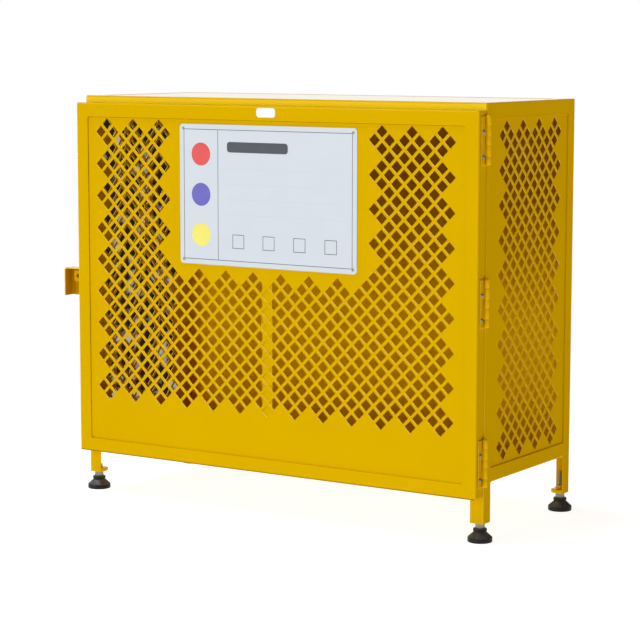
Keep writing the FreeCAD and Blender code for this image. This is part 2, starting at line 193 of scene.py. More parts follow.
def mesh_from(name: str, form: bmesh.types.BMesh) -> bpy.types.Mesh:
    """Turns a bmesh into a mesh with smooth faces and sharp edges, and frees it.

    Args:
        name: Name of the mesh.
        form: The bmesh, with outward faces.

    Returns:
        The finished mesh.
    """
    mesh = bpy.data.meshes.new(name)
    form.to_mesh(mesh)
    form.free()
    mesh.shade_smooth()
    mesh.set_sharp_from_angle(angle=math.radians(SMOOTH_BELOW_DEG))
    return mesh


def plain_mesh(piece: bpy.types.Object) -> None:
    """Replaces a piece's mesh by its evaluated mesh and removes its modifiers.

    Args:
        piece: Object that gets the plain mesh.
    """
    graph = bpy.context.evaluated_depsgraph_get()
    mesh = bpy.data.meshes.new_from_object(piece.evaluated_get(graph), depsgraph=graph)
    piece.modifiers.clear()
    piece.data = mesh


def coat(piece: bpy.types.Object, *finishes: "Finish") -> None:
    """Gives a piece its finishes, with all its faces in the first.

    Args:
        piece: Object whose material slots are set anew.
        finishes: One finish for each slot, in order.
    """
    mesh = piece.data
    mesh.materials.clear()
    for finish in finishes:
        mesh.materials.append(finish.material())
    mesh.polygons.foreach_set("material_index", [0] * len(mesh.polygons))


def soften(piece: bpy.types.Object, width_mm: float, edge_slot: int = -1) -> None:
    """Rounds a piece's sharp edges with a bevel modifier.

    Args:
        piece: Object whose edges are rounded.
        width_mm: Width of the rounding.
        edge_slot: Material slot of the rounding, or -1 for that of the faces beside it.
    """
    bevel = piece.modifiers.new("softened edges", "BEVEL")
    bevel.width = width_mm * MM
    bevel.segments = EDGE_SEGMENTS
    bevel.limit_method = "ANGLE"
    bevel.angle_limit = math.radians(SOFTEN_ABOVE_DEG)
    bevel.harden_normals = True
    bevel.loop_slide = False
    bevel.material = edge_slot


def hexagon_reach(angle: float, flats: float) -> float:
    """Distance from a hexagon's middle to its side at an angle, for a width across its flats."""
    return flats / 2.0 / math.cos((angle + math.pi / 6.0) % (math.pi / 3.0) - math.pi / 6.0)


def lathe(profile: Sequence[Point], segments: int, flats: float = math.inf,
          flats_from: int = 0) -> bmesh.types.BMesh:
    """Turns a closed form about the Z axis, part of it cut to a hexagon.

    Args:
        profile: Radius and height pairs in metres, from one pole to the other.
        segments: Faces round the axis.
        flats: Width across the flats of the hexagon that limits the form.
        flats_from: First point of the profile that the hexagon limits.

    Returns:
        Closed bmesh with outward faces.
    """
    form = bmesh.new()
    rings = []
    for at, (radius, height) in enumerate(profile):
        ring = []
        for step in range(segments if radius > 0.0 else 1):
            angle = 2.0 * math.pi * step / segments
            reach = min(radius, hexagon_reach(angle, flats)) if at >= flats_from else radius
            ring.append(form.verts.new((reach * math.cos(angle), reach * math.sin(angle), height)))
        rings.append(ring)
    for lower, upper in zip(rings, rings[1:]):
        for step in range(segments):
            loop = [lower[step % len(lower)], lower[(step + 1) % len(lower)],
                    upper[(step + 1) % len(upper)], upper[step % len(upper)]]
            corners = list(dict.fromkeys(loop))
            if len(corners) > 2:
                form.faces.new(corners)
    bmesh.ops.recalc_face_normals(form, faces=form.faces)
    return form


def arc(centre: Point, radius: float, start_deg: float, end_deg: float, steps: int) -> list[Point]:
    """Points along an arc of a profile.

    Args:
        centre: Radius and height of the arc's centre.
        radius: Radius of the arc.
        start_deg: Angle of the first point, from the outward direction.
        end_deg: Angle of the last point.
        steps: Straight pieces along the arc.

    Returns:
        Radius and height pairs.
    """
    angles = [math.radians(start_deg + (end_deg - start_deg) * step / steps) for step in range(steps + 1)]
    return [(centre[0] + radius * math.cos(a), centre[1] + radius * math.sin(a)) for a in angles]


def rounded_outline(width: float, height: float, radius: float, steps: int = 5) -> list[Point]:
    """Outline of a rectangle with round corners about the origin.

    Args:
        width: Size along X.
        height: Size along Y.
        radius: Radius of the corners.
        steps: Straight pieces along each corner.

    Returns:
        Points anticlockwise, from the right end of the upper right corner.
    """
    outline = []
    for x_side, y_side, start in ((1, 1, 0.0), (-1, 1, 90.0), (-1, -1, 180.0), (1, -1, 270.0)):
        centre = (x_side * (width / 2.0 - radius), y_side * (height / 2.0 - radius))
        outline += arc(centre, radius, start, start + 90.0, steps)
    return outline


def add_slab(form: bmesh.types.BMesh, outline: Sequence[Point], place: Matrix, depth: float) -> None:
    """Adds a flat plate to a bmesh.

    Args:
        form: The bmesh that gets the plate.
        outline: Anticlockwise outline in the plate's own X and Y.
        place: Matrix from the plate's own frame, where it rises along Z, to the shared frame.
        depth: Thickness of the plate in metres.
    """
    low = [form.verts.new(place @ Vector((x, y, 0.0))) for x, y in outline]
    high = [form.verts.new(place @ Vector((x, y, depth))) for x, y in outline]
    form.faces.new(reversed(low))
    form.faces.new(high)
    for step in range(len(outline)):
        after = (step + 1) % len(outline)
        form.faces.new((low[step], low[after], high[after], high[step]))


def upright_plane(x: float, y: float, z: float) -> Matrix:
    """Matrix that stands a flat XY design up on a face towards -Y, with its Z towards the viewer."""
    return Matrix.Translation((x, y, z)) @ Matrix.Rotation(math.radians(90.0), 4, "X")


# Finishes

@dataclass(frozen=True)
class Finish:
    """A surface finish, made into a material the first time that it is used."""

    name: str

    def material(self) -> bpy.types.Material:
        """Makes the finish's material, or finds it.

        Returns:
            The material, shared by all pieces with this finish.
        """
        found = bpy.data.materials.get(self.name)
        if found is not None:
            return found
        made = bpy.data.materials.new(self.name)
        made.use_nodes = True
        made.node_tree.nodes.clear()
        shader = self.shade(made.node_tree)
        add_node(made.node_tree, "ShaderNodeOutputMaterial", {"Surface": shader.outputs["BSDF"]})
        return made

    def shade(self, tree: bpy.types.NodeTree) -> bpy.types.Node:
        """Builds the finish's nodes.

        Args:
            tree: Empty node tree of the material.

        Returns:
            The shader node.
        """
        raise NotImplementedError


@dataclass(frozen=True)
class BakedEnamel(Finish):
    """Powder coat baked on steel: even colour, satin gloss and a faint orange peel.

    The peel of a real coat is about 1 mm wide; it is drawn several times coarser so that it shows.
    """

    colour: str
    thin_colour: str
    roughness: Range
    specular: float = 0.3
    sheen: str = "#FFC400"
    cloud_mm: float = 170.0
    peel_mm: float = 5.0
    peel_depth_mm: float = 0.02
    peel_strength: float = 0.4

    def shade(self, tree: bpy.types.NodeTree) -> bpy.types.Node:
        """Builds the finish's nodes.

        Args:
            tree: Empty node tree of the material.

        Returns:
            The shader node.
        """
        place = add_node(tree, "ShaderNodeTexCoord").outputs["Object"]
        cloud = add_node(tree, "ShaderNodeTexNoise", {
            "Vector": place, "Scale": per_metre(self.cloud_mm), "Detail": 3.0})
        colour = add_node(tree, "ShaderNodeMix", {
            SHARE: cloud.outputs["Fac"], FIRST: linear(self.thin_colour), SECOND: linear(self.colour)},
            data_type="RGBA")
        peel = add_node(tree, "ShaderNodeTexNoise", {
            "Vector": place, "Scale": per_metre(self.peel_mm), "Detail": 1.0})
        gloss = add_node(tree, "ShaderNodeMapRange", {
            "Value": peel.outputs["Fac"], "To Min": self.roughness[0], "To Max": self.roughness[1]})
        bump = add_node(tree, "ShaderNodeBump", {
            "Height": peel.outputs["Fac"], "Strength": self.peel_strength,
            "Distance": self.peel_depth_mm * MM})
        return add_node(tree, "ShaderNodeBsdfPrincipled", {
            "Base Color": colour.outputs[MIXED], "Roughness": gloss.outputs["Result"],
            "Normal": bump.outputs["Normal"], "Specular IOR Level": self.specular,
            "Specular Tint": linear(self.sheen)})


@dataclass(frozen=True)
class BayShadeEnamel(Finish):
    """Powder coat in a sheltered bay: painted shade deep at the top, painted light paler towards the floor.

    Attributes:
        colour: Colour of the painted shade at the top.
        dust_and_lit_colour: Colour of the painted light towards the floor.
        heights: Heights in metres between which the painted shade gives way to the painted light.
        ragged: Height in metres by which the border between them wanders.
        cloud_mm: Size of the border's waves.
    """

    colour: str
    dust_and_lit_colour: str
    heights: Range
    ragged: float = 0.1
    cloud_mm: float = 120.0

    def shade(self, tree: bpy.types.NodeTree) -> bpy.types.Node:
        """Builds the finish's nodes.

        Args:
            tree: Empty node tree of the material.

        Returns:
            The shader node.
        """
        place = add_node(tree, "ShaderNodeTexCoord").outputs["Object"]
        height = add_node(tree, "ShaderNodeSeparateXYZ", {"Vector": place}).outputs["Z"]
        cloud = add_node(tree, "ShaderNodeTexNoise", {
            "Vector": place, "Scale": per_metre(self.cloud_mm), "Detail": 4.0})
        # Painted shade above a wandering border, painted light below it.
        edge = add_node(tree, "ShaderNodeMath", {
            0: cloud.outputs["Fac"], 1: self.ragged, 2: height}, operation="MULTIPLY_ADD")
        dust_and_light = add_node(tree, "ShaderNodeMapRange", {
            "Value": edge.outputs[0], "From Min": self.heights[1], "From Max": self.heights[0]},
            interpolation_type="SMOOTHSTEP")
        colour = add_node(tree, "ShaderNodeMix", {
            SHARE: dust_and_light.outputs["Result"], FIRST: linear(self.colour), SECOND: linear(self.dust_and_lit_colour)},
            data_type="RGBA")
        return add_node(tree, "ShaderNodeBsdfPrincipled", {
            "Base Color": colour.outputs[MIXED], "Roughness": 0.5, "Specular IOR Level": 0.0})


@dataclass(frozen=True)
class ZincPlate(Finish):
    """Bright zinc plating: a metal with a soft gloss and faint cloudy patches."""

    colour: str
    dull_colour: str
    roughness: Range
    metallic: float = 0.7
    patch_mm: float = 4.0

    def shade(self, tree: bpy.types.NodeTree) -> bpy.types.Node:
        """Builds the finish's nodes.

        Args:
            tree: Empty node tree of the material.

        Returns:
            The shader node.
        """
        place = add_node(tree, "ShaderNodeTexCoord").outputs["Object"]
        patch = add_node(tree, "ShaderNodeTexNoise", {
            "Vector": place, "Scale": per_metre(self.patch_mm), "Detail": 4.0})
        colour = add_node(tree, "ShaderNodeMix", {
            SHARE: patch.outputs["Fac"], FIRST: linear(self.dull_colour), SECOND: linear(self.colour)},
            data_type="RGBA")
        gloss = add_node(tree, "ShaderNodeMapRange", {
            "Value": patch.outputs["Fac"], "To Min": self.roughness[1], "To Max": self.roughness[0]})
        return add_node(tree, "ShaderNodeBsdfPrincipled", {
            "Base Color": colour.outputs[MIXED], "Roughness": gloss.outputs["Result"],
            "Metallic": self.metallic})


@dataclass(frozen=True)
class SatinCoat(Finish):
    """Thin satin coat or screen ink on a flat plate, a little uneven in tone.

    Its grain is drawn several times coarser than a real one so that it shows.
    """

    colour: str
    faded_colour: str
    roughness: float = 0.42
    fade_mm: float = 60.0
    grain_mm: float = 3.0
    grain_depth_mm: float = 0.01

    def shade(self, tree: bpy.types.NodeTree) -> bpy.types.Node:
        """Builds the finish's nodes.

        Args:
            tree: Empty node tree of the material.

        Returns:
            The shader node.
        """
        place = add_node(tree, "ShaderNodeTexCoord").outputs["Object"]
        fade = add_node(tree, "ShaderNodeTexNoise", {
            "Vector": place, "Scale": per_metre(self.fade_mm), "Detail": 4.0})
        colour = add_node(tree, "ShaderNodeMix", {
            SHARE: fade.outputs["Fac"], FIRST: linear(self.faded_colour), SECOND: linear(self.colour)},
            data_type="RGBA")
        grain = add_node(tree, "ShaderNodeTexNoise", {
            "Vector": place, "Scale": per_metre(self.grain_mm), "Detail": 2.0})
        bump = add_node(tree, "ShaderNodeBump", {
            "Height": grain.outputs["Fac"], "Strength": 0.2, "Distance": self.grain_depth_mm * MM})
        return add_node(tree, "ShaderNodeBsdfPrincipled", {
            "Base Color": colour.outputs[MIXED], "Normal": bump.outputs["Normal"],
            "Roughness": self.roughness, "Specular IOR Level": 0.3})


@dataclass(frozen=True)
class MouldedRubber(Finish):
    """Moulded black rubber: dark, with a soft sheen, fine pores, and dust and painted light from above where
    it faces up.

    Its pores are drawn several times coarser than real ones so that they show.
    """

    colour: str
    dust_and_lit_colour: str
    pore_mm: float = 1.5
    pore_depth_mm: float = 0.05
    dust_mm: float = 14.0
    dust_and_light_range: Range = (0.1, 0.5)

    def shade(self, tree: bpy.types.NodeTree) -> bpy.types.Node:
        """Builds the finish's nodes.

        Args:
            tree: Empty node tree of the material.

        Returns:
            The shader node.
        """
        place = add_node(tree, "ShaderNodeTexCoord").outputs["Object"]
        dust_and_light = add_node(tree, "ShaderNodeTexNoise", {
            "Vector": place, "Scale": per_metre(self.dust_mm), "Detail": 5.0})
        # Faces that look up turn paler: dust, and painted light from above.
        facing = add_node(tree, "ShaderNodeSeparateXYZ", {
            "Vector": add_node(tree, "ShaderNodeNewGeometry").outputs["Normal"]})
        upward_dust_and_light = add_node(tree, "ShaderNodeMath", {
            0: facing.outputs["Z"], 1: dust_and_light.outputs["Fac"]}, operation="MULTIPLY")
        share = add_node(tree, "ShaderNodeMapRange", {
            "Value": upward_dust_and_light.outputs[0], "From Min": self.dust_and_light_range[0], "From Max": self.dust_and_light_range[1]})
        colour = add_node(tree, "ShaderNodeMix", {
            SHARE: share.outputs["Result"], FIRST: linear(self.colour), SECOND: linear(self.dust_and_lit_colour)},
            data_type="RGBA")
        pores = add_node(tree, "ShaderNodeTexNoise", {
            "Vector": place, "Scale": per_metre(self.pore_mm), "Detail": 2.0})
        bump = add_node(tree, "ShaderNodeBump", {
            "Height": pores.outputs["Fac"], "Strength": 0.35, "Distance": self.pore_depth_mm * MM})
        return add_node(tree, "ShaderNodeBsdfPrincipled", {
            "Base Color": colour.outputs[MIXED], "Normal": bump.outputs["Normal"],
            "Roughness": 0.5, "Specular IOR Level": 0.25})


@dataclass(frozen=True)
class PaleFloor(Finish):
    """Pale studio floor of glowing panels under a matt, faintly cloudy coat."""

    colour: str
    cloud_colour: str
    glow: float = 0.9
    cloud_mm: float = 900.0

    def shade(self, tree: bpy.types.NodeTree) -> bpy.types.Node:
        """Builds the finish's nodes.

        Args:
            tree: Empty node tree of the material.

        Returns:
            The shader node.
        """
        place = add_node(tree, "ShaderNodeTexCoord").outputs["Object"]
        cloud = add_node(tree, "ShaderNodeTexNoise", {"Vector": place, "Scale": per_metre(self.cloud_mm)})
        colour = add_node(tree, "ShaderNodeMix", {
            SHARE: cloud.outputs["Fac"], FIRST: linear(self.cloud_colour), SECOND: linear(self.colour)},
            data_type="RGBA")
        return add_node(tree, "ShaderNodeBsdfPrincipled", {
            "Base Color": colour.outputs[MIXED], "Roughness": 0.7, "Specular IOR Level": 0.0,
            "Emission Color": linear(WHITE), "Emission Strength": self.glow})


@dataclass(frozen=True)
class DimRoom:
    """Dim mottled patch in the white surroundings, in one narrow range of directions.

    The patch lies behind the cage as seen from the photograph's side, so it shows only through the holes
    of the door and the left side, where the photograph shows a dim room.

    Attributes:
        heading_deg: Turn of straight ahead from +Y, anticlockwise.
        colour: Colour between the spots.
        spot_colour: Colour of the spots.
        across: Limits to the right, per unit ahead.
        fall: Limits downwards, per unit ahead.
        soft: Width of the border at those limits.
        ahead: Least part of a direction that points straight ahead.
        ahead_soft: Width of the border there.
        spot: Size of the spots, per unit ahead.
        spot_range: Noise values between which a spot grows to its full colour.
    """

    heading_deg: float
    colour: str = "#261E10"
    spot_colour: str = "#B0A89C"
    across: Range = (-0.107, -0.057)
    fall: Range = (0.027, 0.174)
    soft: float = 0.006
    ahead: float = 0.5
    ahead_soft: float = 0.1
    spot: float = 0.007
    spot_range: Range = (0.55, 0.68)

    def over(self, tree: bpy.types.NodeTree, towards: bpy.types.NodeSocket) -> bpy.types.NodeSocket:
        """Lays the patch over white.

        Args:
            tree: Node tree of the world.
            towards: Direction of view.

        Returns:
            Output socket with the colour.
        """
        turn = math.radians(self.heading_deg)
        right, down = (math.cos(turn), math.sin(turn), 0.0), (0.0, 0.0, -1.0)
        forward = (-math.sin(turn), math.cos(turn), 0.0)
        ahead, *others = [add_node(tree, "ShaderNodeVectorMath", {
            0: towards, 1: way}, operation="DOT_PRODUCT").outputs["Value"] for way in (forward, right, down)]
        reach = add_node(tree, "ShaderNodeMath", {0: ahead, 1: self.ahead}, operation="MAXIMUM").outputs[0]
        aside, drop = [add_node(tree, "ShaderNodeMath", {
            0: part, 1: reach}, operation="DIVIDE").outputs[0] for part in others]
        borders = ((aside, self.across[0], self.soft), (aside, self.across[1], -self.soft),
                   (drop, self.fall[0], self.soft), (drop, self.fall[1], -self.soft),
                   (ahead, self.ahead, self.ahead_soft))
        share: Any = 1.0
        for value, limit, width in borders:
            border = add_node(tree, "ShaderNodeMapRange", {
                "Value": value, "From Min": limit, "From Max": limit + width})
            share = add_node(tree, "ShaderNodeMath", {
                0: share, 1: border.outputs["Result"]}, operation="MULTIPLY").outputs[0]
        grid = add_node(tree, "ShaderNodeCombineXYZ", {"X": aside, "Y": drop})
        spots = add_node(tree, "ShaderNodeTexNoise", {
            "Vector": grid.outputs["Vector"], "Scale": 1.0 / self.spot, "Detail": 2.0})
        grown = add_node(tree, "ShaderNodeMapRange", {
            "Value": spots.outputs["Fac"], "From Min": self.spot_range[0], "From Max": self.spot_range[1]})
        mottle = add_node(tree, "ShaderNodeMix", {
            SHARE: grown.outputs["Result"], FIRST: linear(self.colour), SECOND: linear(self.spot_colour)},
            data_type="RGBA")
        return add_node(tree, "ShaderNodeMix", {
            SHARE: share, FIRST: linear(WHITE), SECOND: mottle.outputs[MIXED]},
            data_type="RGBA").outputs[MIXED]


# Upright faces: an even satin yellow without highlights.
ENAMEL = BakedEnamel("baked_enamel_yellow", "#D6AC00", "#D1A700", (0.14, 0.2), 0.0)
# Level faces: smooth enough to mirror the white room at a low angle.
ENAMEL_TOP = BakedEnamel("baked_enamel_top", "#D6AC00", "#D1A700", (0.05, 0.08), 0.6, peel_depth_mm=0.002)
# Front top rail, narrow ledges and the left stile's inner side: a clear yellow as painted light.
ENAMEL_PAINTED_LIGHT = BakedEnamel("baked_enamel_painted_light", "#FFDE2A", "#FBD81E", (0.2, 0.3), 0.0)
# Softened edges and round corners: a little paler than the faces, as a painted highlight.
ENAMEL_EDGE_HIGHLIGHT = BakedEnamel("baked_enamel_edge_highlight", "#E0B40C", "#DAAD06", (0.3, 0.4), 0.1)
# Edges of the hinges, the lock and the side sheets' holes: pale yellow lines as a painted highlight.
ENAMEL_PALE_HIGHLIGHT = BakedEnamel("baked_enamel_pale_highlight", "#F4CC58", "#ECC24A", (0.25, 0.35), 0.2)
# Walls of the door's holes that face the light: a thin cream line in each hole, as a painted highlight.
ENAMEL_RIM_HIGHLIGHT = BakedEnamel("baked_enamel_rim_highlight", "#FFE27C", "#FFDA6C", (0.25, 0.35), 0.2)
# Hinge knuckles: a warmer, brighter yellow as painted light, with a faint gloss.
ENAMEL_ROUND_PAINTED_LIGHT = BakedEnamel("baked_enamel_round_painted_light", "#EEBE00", "#E7B600", (0.3, 0.4), 0.03)
# Sealed seams, hole walls in shade and shaded edges: fine brownish lines of painted shade.
ENAMEL_SEAM_AND_SHADE = BakedEnamel("baked_enamel_seam_and_shade", "#A67800", "#966A00", (0.5, 0.6), 0.05)
# Inside of the lock shroud and the edges of the door's lower rail: a deeper yellow as painted shade.
ENAMEL_PAINTED_SHADE = BakedEnamel("baked_enamel_painted_shade", "#C89600", "#BE8C00", (0.5, 0.6), 0.0)
# Back of the bay: brown painted shade at the top, yellow painted light towards the floor.
ENAMEL_BAY_SHADING = BayShadeEnamel("baked_enamel_bay_painted_shading", "#A87600", "#F6BE00", (0.45, 1.0))
# Screws, nuts, rivets and studs: a soft grey metal.
ZINC = ZincPlate("zinc_plate_bright", "#B2AC9C", "#7C776B", (0.45, 0.6))
# Sign, label and inks: flat cool white and clear colours without shine.
SIGN_WHITE = SatinCoat("satin_coat_white", "#CED6DE", "#C8D1DA")
LABEL_WHITE = SatinCoat("label_film_white", "#F4F4F2", "#ECECEA", 0.3)
INK_DARK = SatinCoat("screen_ink_dark_grey", "#3A4048", "#484E57")
INK_RED = SatinCoat("screen_ink_red", "#D8403F", "#DE5652")
INK_BLUE = SatinCoat("screen_ink_blue", "#5A57B4", "#6A67BC")
INK_YELLOW = SatinCoat("screen_ink_yellow", "#E8E05A", "#ECE678")
INK_PALE = SatinCoat("screen_ink_pale_grey", "#C3CAD3", "#CDD3DA")
# Pads: near black, greyer where they face up, from dust and painted light from above.
RUBBER = MouldedRubber("moulded_rubber_black", "#101112", "#5E5F61")
# Floor: white enough to run on into the surroundings.
FLOOR_COAT = PaleFloor("floor_pale_paint", "#A8A8A8", "#A4A4A4")


@dataclass(frozen=True)
class Coats:
    """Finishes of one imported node, by the kind of its surface.

    Attributes:
        flat: Finish of the flat faces.
        edge: Finish of the softened edges.
        bend: Finish of the round faces.
        top: Finish of the faces that lie level and look up.
    """

    flat: Finish
    edge: Finish
    bend: Finish
    top: Finish


# Painted highlight on softened edges and round corners.
PAINTED = Coats(ENAMEL, ENAMEL_EDGE_HIGHLIGHT, ENAMEL_EDGE_HIGHLIGHT, ENAMEL_TOP)
# Front top rail: painted light on its flat faces.
PAINTED_LIT = Coats(ENAMEL_PAINTED_LIGHT, ENAMEL_EDGE_HIGHLIGHT, ENAMEL_EDGE_HIGHLIGHT, ENAMEL_TOP)
# Right stile: painted shade on its cut edges.
PAINTED_STILE = Coats(ENAMEL, ENAMEL_SEAM_AND_SHADE, ENAMEL_EDGE_HIGHLIGHT, ENAMEL_TOP)
# Lower rail: painted shade on its edges and round corner.
PAINTED_LOW = Coats(ENAMEL, ENAMEL_PAINTED_SHADE, ENAMEL_SEAM_AND_SHADE, ENAMEL)
# Bottom rails: painted light on their level faces.
PAINTED_LEDGE = Coats(ENAMEL, ENAMEL_EDGE_HIGHLIGHT, ENAMEL_EDGE_HIGHLIGHT, ENAMEL_PAINTED_LIGHT)
# Far top rails: glossy edges and a painted highlight on round corners.
PAINTED_FAR = Coats(ENAMEL, ENAMEL_TOP, ENAMEL_EDGE_HIGHLIGHT, ENAMEL_TOP)
# Hinge leaves: painted highlight on their edges, painted light on the round knuckles.
PAINTED_HINGE = Coats(ENAMEL, ENAMEL_PALE_HIGHLIGHT, ENAMEL_ROUND_PAINTED_LIGHT, ENAMEL_TOP)
# Lock: painted highlight on its edges.
PAINTED_LOCK = Coats(ENAMEL, ENAMEL_PALE_HIGHLIGHT, ENAMEL, ENAMEL_TOP)
PLATED = Coats(ZINC, ZINC, ZINC, ZINC)
COATED_SIGN = Coats(SIGN_WHITE, SIGN_WHITE, SIGN_WHITE, SIGN_WHITE)


# Geometry Nodes

class Recipe:
    """A Geometry Nodes tree with named sizes, turned into plain meshes.

    Subclasses build the tree from `self.given` and hand their last socket to `end`.
    """

    def __init__(self, name: str, sizes: Sequence[str], others: dict[str, str] | None = None) -> None:
        """Starts the tree.

        Args:
            name: Name of the tree.
            sizes: Names of its length inputs, in metres.
            others: Names and socket types of its other inputs.
        """
        self.tree = bpy.data.node_groups.new(name, "GeometryNodeTree")
        kinds = {"Base": "NodeSocketGeometry", **dict.fromkeys(sizes, "NodeSocketFloat"),
                 **(others or {}), "Finish": "NodeSocketMaterial"}
        self.tree.interface.new_socket("Result", in_out="OUTPUT", socket_type="NodeSocketGeometry")
        for title, kind in kinds.items():
            self.tree.interface.new_socket(title, in_out="INPUT", socket_type=kind)
        self.given = add_node(self.tree, "NodeGroupInput").outputs

    def add(self, kind: str, inputs: dict[Any, Any] | None = None, **settings: Any) -> bpy.types.NodeSocket:
        """Adds a node to the tree and returns its first output."""
        return add_node(self.tree, kind, inputs, **settings).outputs[0]

    def end(self, geometry: bpy.types.NodeSocket) -> None:
        """Closes the tree with real meshes and their material.

        Args:
            geometry: The tree's last geometry.
        """
        real = self.add("GeometryNodeRealizeInstances", {"Geometry": geometry})
        painted = self.add("GeometryNodeSetMaterial", {"Geometry": real, "Material": self.given["Finish"]})
        add_node(self.tree, "NodeGroupOutput", {"Result": painted})

    def make(self, name: str, base: bpy.types.Mesh, finish: Finish, **values: Any) -> bpy.types.Object:
        """Runs the tree once.

        Args:
            name: Name of the new piece.
            base: Mesh that the tree starts from.
            finish: Finish of the result.
            values: Value of each other input, by its name with underscores for spaces.

        Returns:
            A piece with a plain mesh and no modifier.
        """
        piece = new_object(name, base)
        nodes = piece.modifiers.new("recipe", "NODES")
        nodes.node_group = self.tree
        values = {key.replace("_", " "): value for key, value in values.items()}
        values["Finish"] = finish.material()
        for socket in self.tree.interface.items_tree:
            if socket.in_out == "INPUT" and socket.name in values:
                nodes[socket.identifier] = values[socket.name]
        plain_mesh(piece)
        coat(piece, finish)
        return piece


class PerforatedSheet(Recipe):
    """Flat sheet in XY with a square hole, stood on its corner, round every base point."""

    def __init__(self) -> None:
        """Builds the tree."""
        super().__init__("perforated sheet", ["Width", "Height", "Thickness", "Hole Side", "Hole Corner"])
        given = self.given
        outline = self.add("GeometryNodeCurvePrimitiveQuadrilateral", {
            "Width": given["Width"], "Height": given["Height"]})
        square = self.add("GeometryNodeCurvePrimitiveQuadrilateral", {
            "Width": given["Hole Side"], "Height": given["Hole Side"]})
        hole = self.add("GeometryNodeFilletCurve", {
            "Curve": square, "Count": 2, "Radius": given["Hole Corner"]}, mode="POLY")
        holes = self.add("GeometryNodeInstanceOnPoints", {
            "Points": given["Base"], "Instance": hole, "Rotation": (0.0, 0.0, math.radians(45.0))})
        curves = self.add("GeometryNodeJoinGeometry", {
            "Geometry": [outline, self.add("GeometryNodeRealizeInstances", {"Geometry": holes})]})
        face = self.add("GeometryNodeFillCurve", {"Curve": curves})
        raised = self.add("GeometryNodeExtrudeMesh", {
            "Mesh": face, "Offset Scale": given["Thickness"], "Individual": False})
        back = self.add("GeometryNodeFlipFaces", {"Mesh": face})
        sheet = self.add("GeometryNodeJoinGeometry", {"Geometry": [back, raised]})
        self.end(self.add("GeometryNodeMergeByDistance", {"Geometry": sheet, "Distance": MERGE_MM * MM}))


class UnitsOnPoints(Recipe):
    """A copy of one unit on every base point, with its Z turned to one direction."""

    def __init__(self) -> None:
        """Builds the tree."""
        super().__init__("units on points", [], {"Unit": "NodeSocketObject", "Facing": "NodeSocketVector"})
        unit = add_node(self.tree, "GeometryNodeObjectInfo", {"Object": self.given["Unit"]})
        turn = self.add("FunctionNodeAlignRotationToVector", {"Vector": self.given["Facing"]}, axis="Z")
        self.end(self.add("GeometryNodeInstanceOnPoints", {
            "Points": self.given["Base"], "Instance": unit.outputs["Geometry"], "Rotation": turn}))


class ThreadedRod(Recipe):
    """Base mesh with a threaded rod joined on: the rod's radius rises and falls along a helix."""

    RINGS_PER_TURN = 8.0
    SIDES = 36

    def __init__(self) -> None:
        """Builds the tree."""
        super().__init__("threaded rod", ["Root Radius", "Crest Height", "Pitch", "Length", "Start"])
        given = self.given
        turns = self.add("ShaderNodeMath", {0: given["Length"], 1: given["Pitch"]}, operation="DIVIDE")
        rings = self.add("ShaderNodeMath", {0: turns, 1: self.RINGS_PER_TURN}, operation="MULTIPLY")
        rod = self.add("GeometryNodeMeshCylinder", {
            "Vertices": self.SIDES, "Side Segments": rings,
            "Radius": given["Root Radius"], "Depth": given["Length"]})
        position = self.add("GeometryNodeInputPosition")
        split = add_node(self.tree, "ShaderNodeSeparateXYZ", {"Vector": position}).outputs
        # The radius rises to the crest and falls back once a turn, and the last turn fades out at the tip.
        angle = self.add("ShaderNodeMath", {0: split["Y"], 1: split["X"]}, operation="ARCTAN2")
        around = self.add("ShaderNodeMath", {0: angle, 1: 2.0 * math.pi}, operation="DIVIDE")
        climb = self.add("ShaderNodeMath", {0: split["Z"], 1: given["Pitch"]}, operation="DIVIDE")
        wound = self.add("ShaderNodeMath", {0: climb, 1: around}, operation="SUBTRACT")
        phase = self.add("ShaderNodeMath", {0: wound}, operation="FRACT")
        slopes = self.add("ShaderNodeMath", {0: phase, 1: 2.0}, operation="MULTIPLY")
        ridge = self.add("ShaderNodeMath", {0: slopes, 1: 1.0}, operation="PINGPONG")
        half = self.add("ShaderNodeMath", {0: given["Length"], 1: 0.5}, operation="MULTIPLY")
        to_tip = self.add("ShaderNodeMath", {0: half, 1: split["Z"]}, operation="SUBTRACT")
        last_turns = self.add("ShaderNodeMath", {0: to_tip, 1: given["Pitch"]}, operation="DIVIDE")
        fading = self.add("ShaderNodeMath", {0: last_turns, 1: 1.0}, operation="MINIMUM")
        faded = self.add("ShaderNodeMath", {0: ridge, 1: fading}, operation="MULTIPLY")
        crest = self.add("ShaderNodeMath", {0: faded, 1: given["Crest Height"]}, operation="MULTIPLY")
        growth = self.add("ShaderNodeMath", {0: crest, 1: given["Root Radius"]}, operation="DIVIDE")
        outwards = self.add("ShaderNodeVectorMath", {0: position, 1: (1.0, 1.0, 0.0)}, operation="MULTIPLY")
        offset = self.add("ShaderNodeVectorMath", {0: outwards, "Scale": growth}, operation="SCALE")
        cut = self.add("GeometryNodeSetPosition", {"Geometry": rod, "Offset": offset})
        lift = self.add("ShaderNodeMath", {0: given["Start"], 1: half}, operation="ADD")
        raised = self.add("GeometryNodeTransform", {
            "Geometry": cut, "Translation": self.add("ShaderNodeCombineXYZ", {"Z": lift})})
        self.end(self.add("GeometryNodeJoinGeometry", {"Geometry": [given["Base"], raised]}))


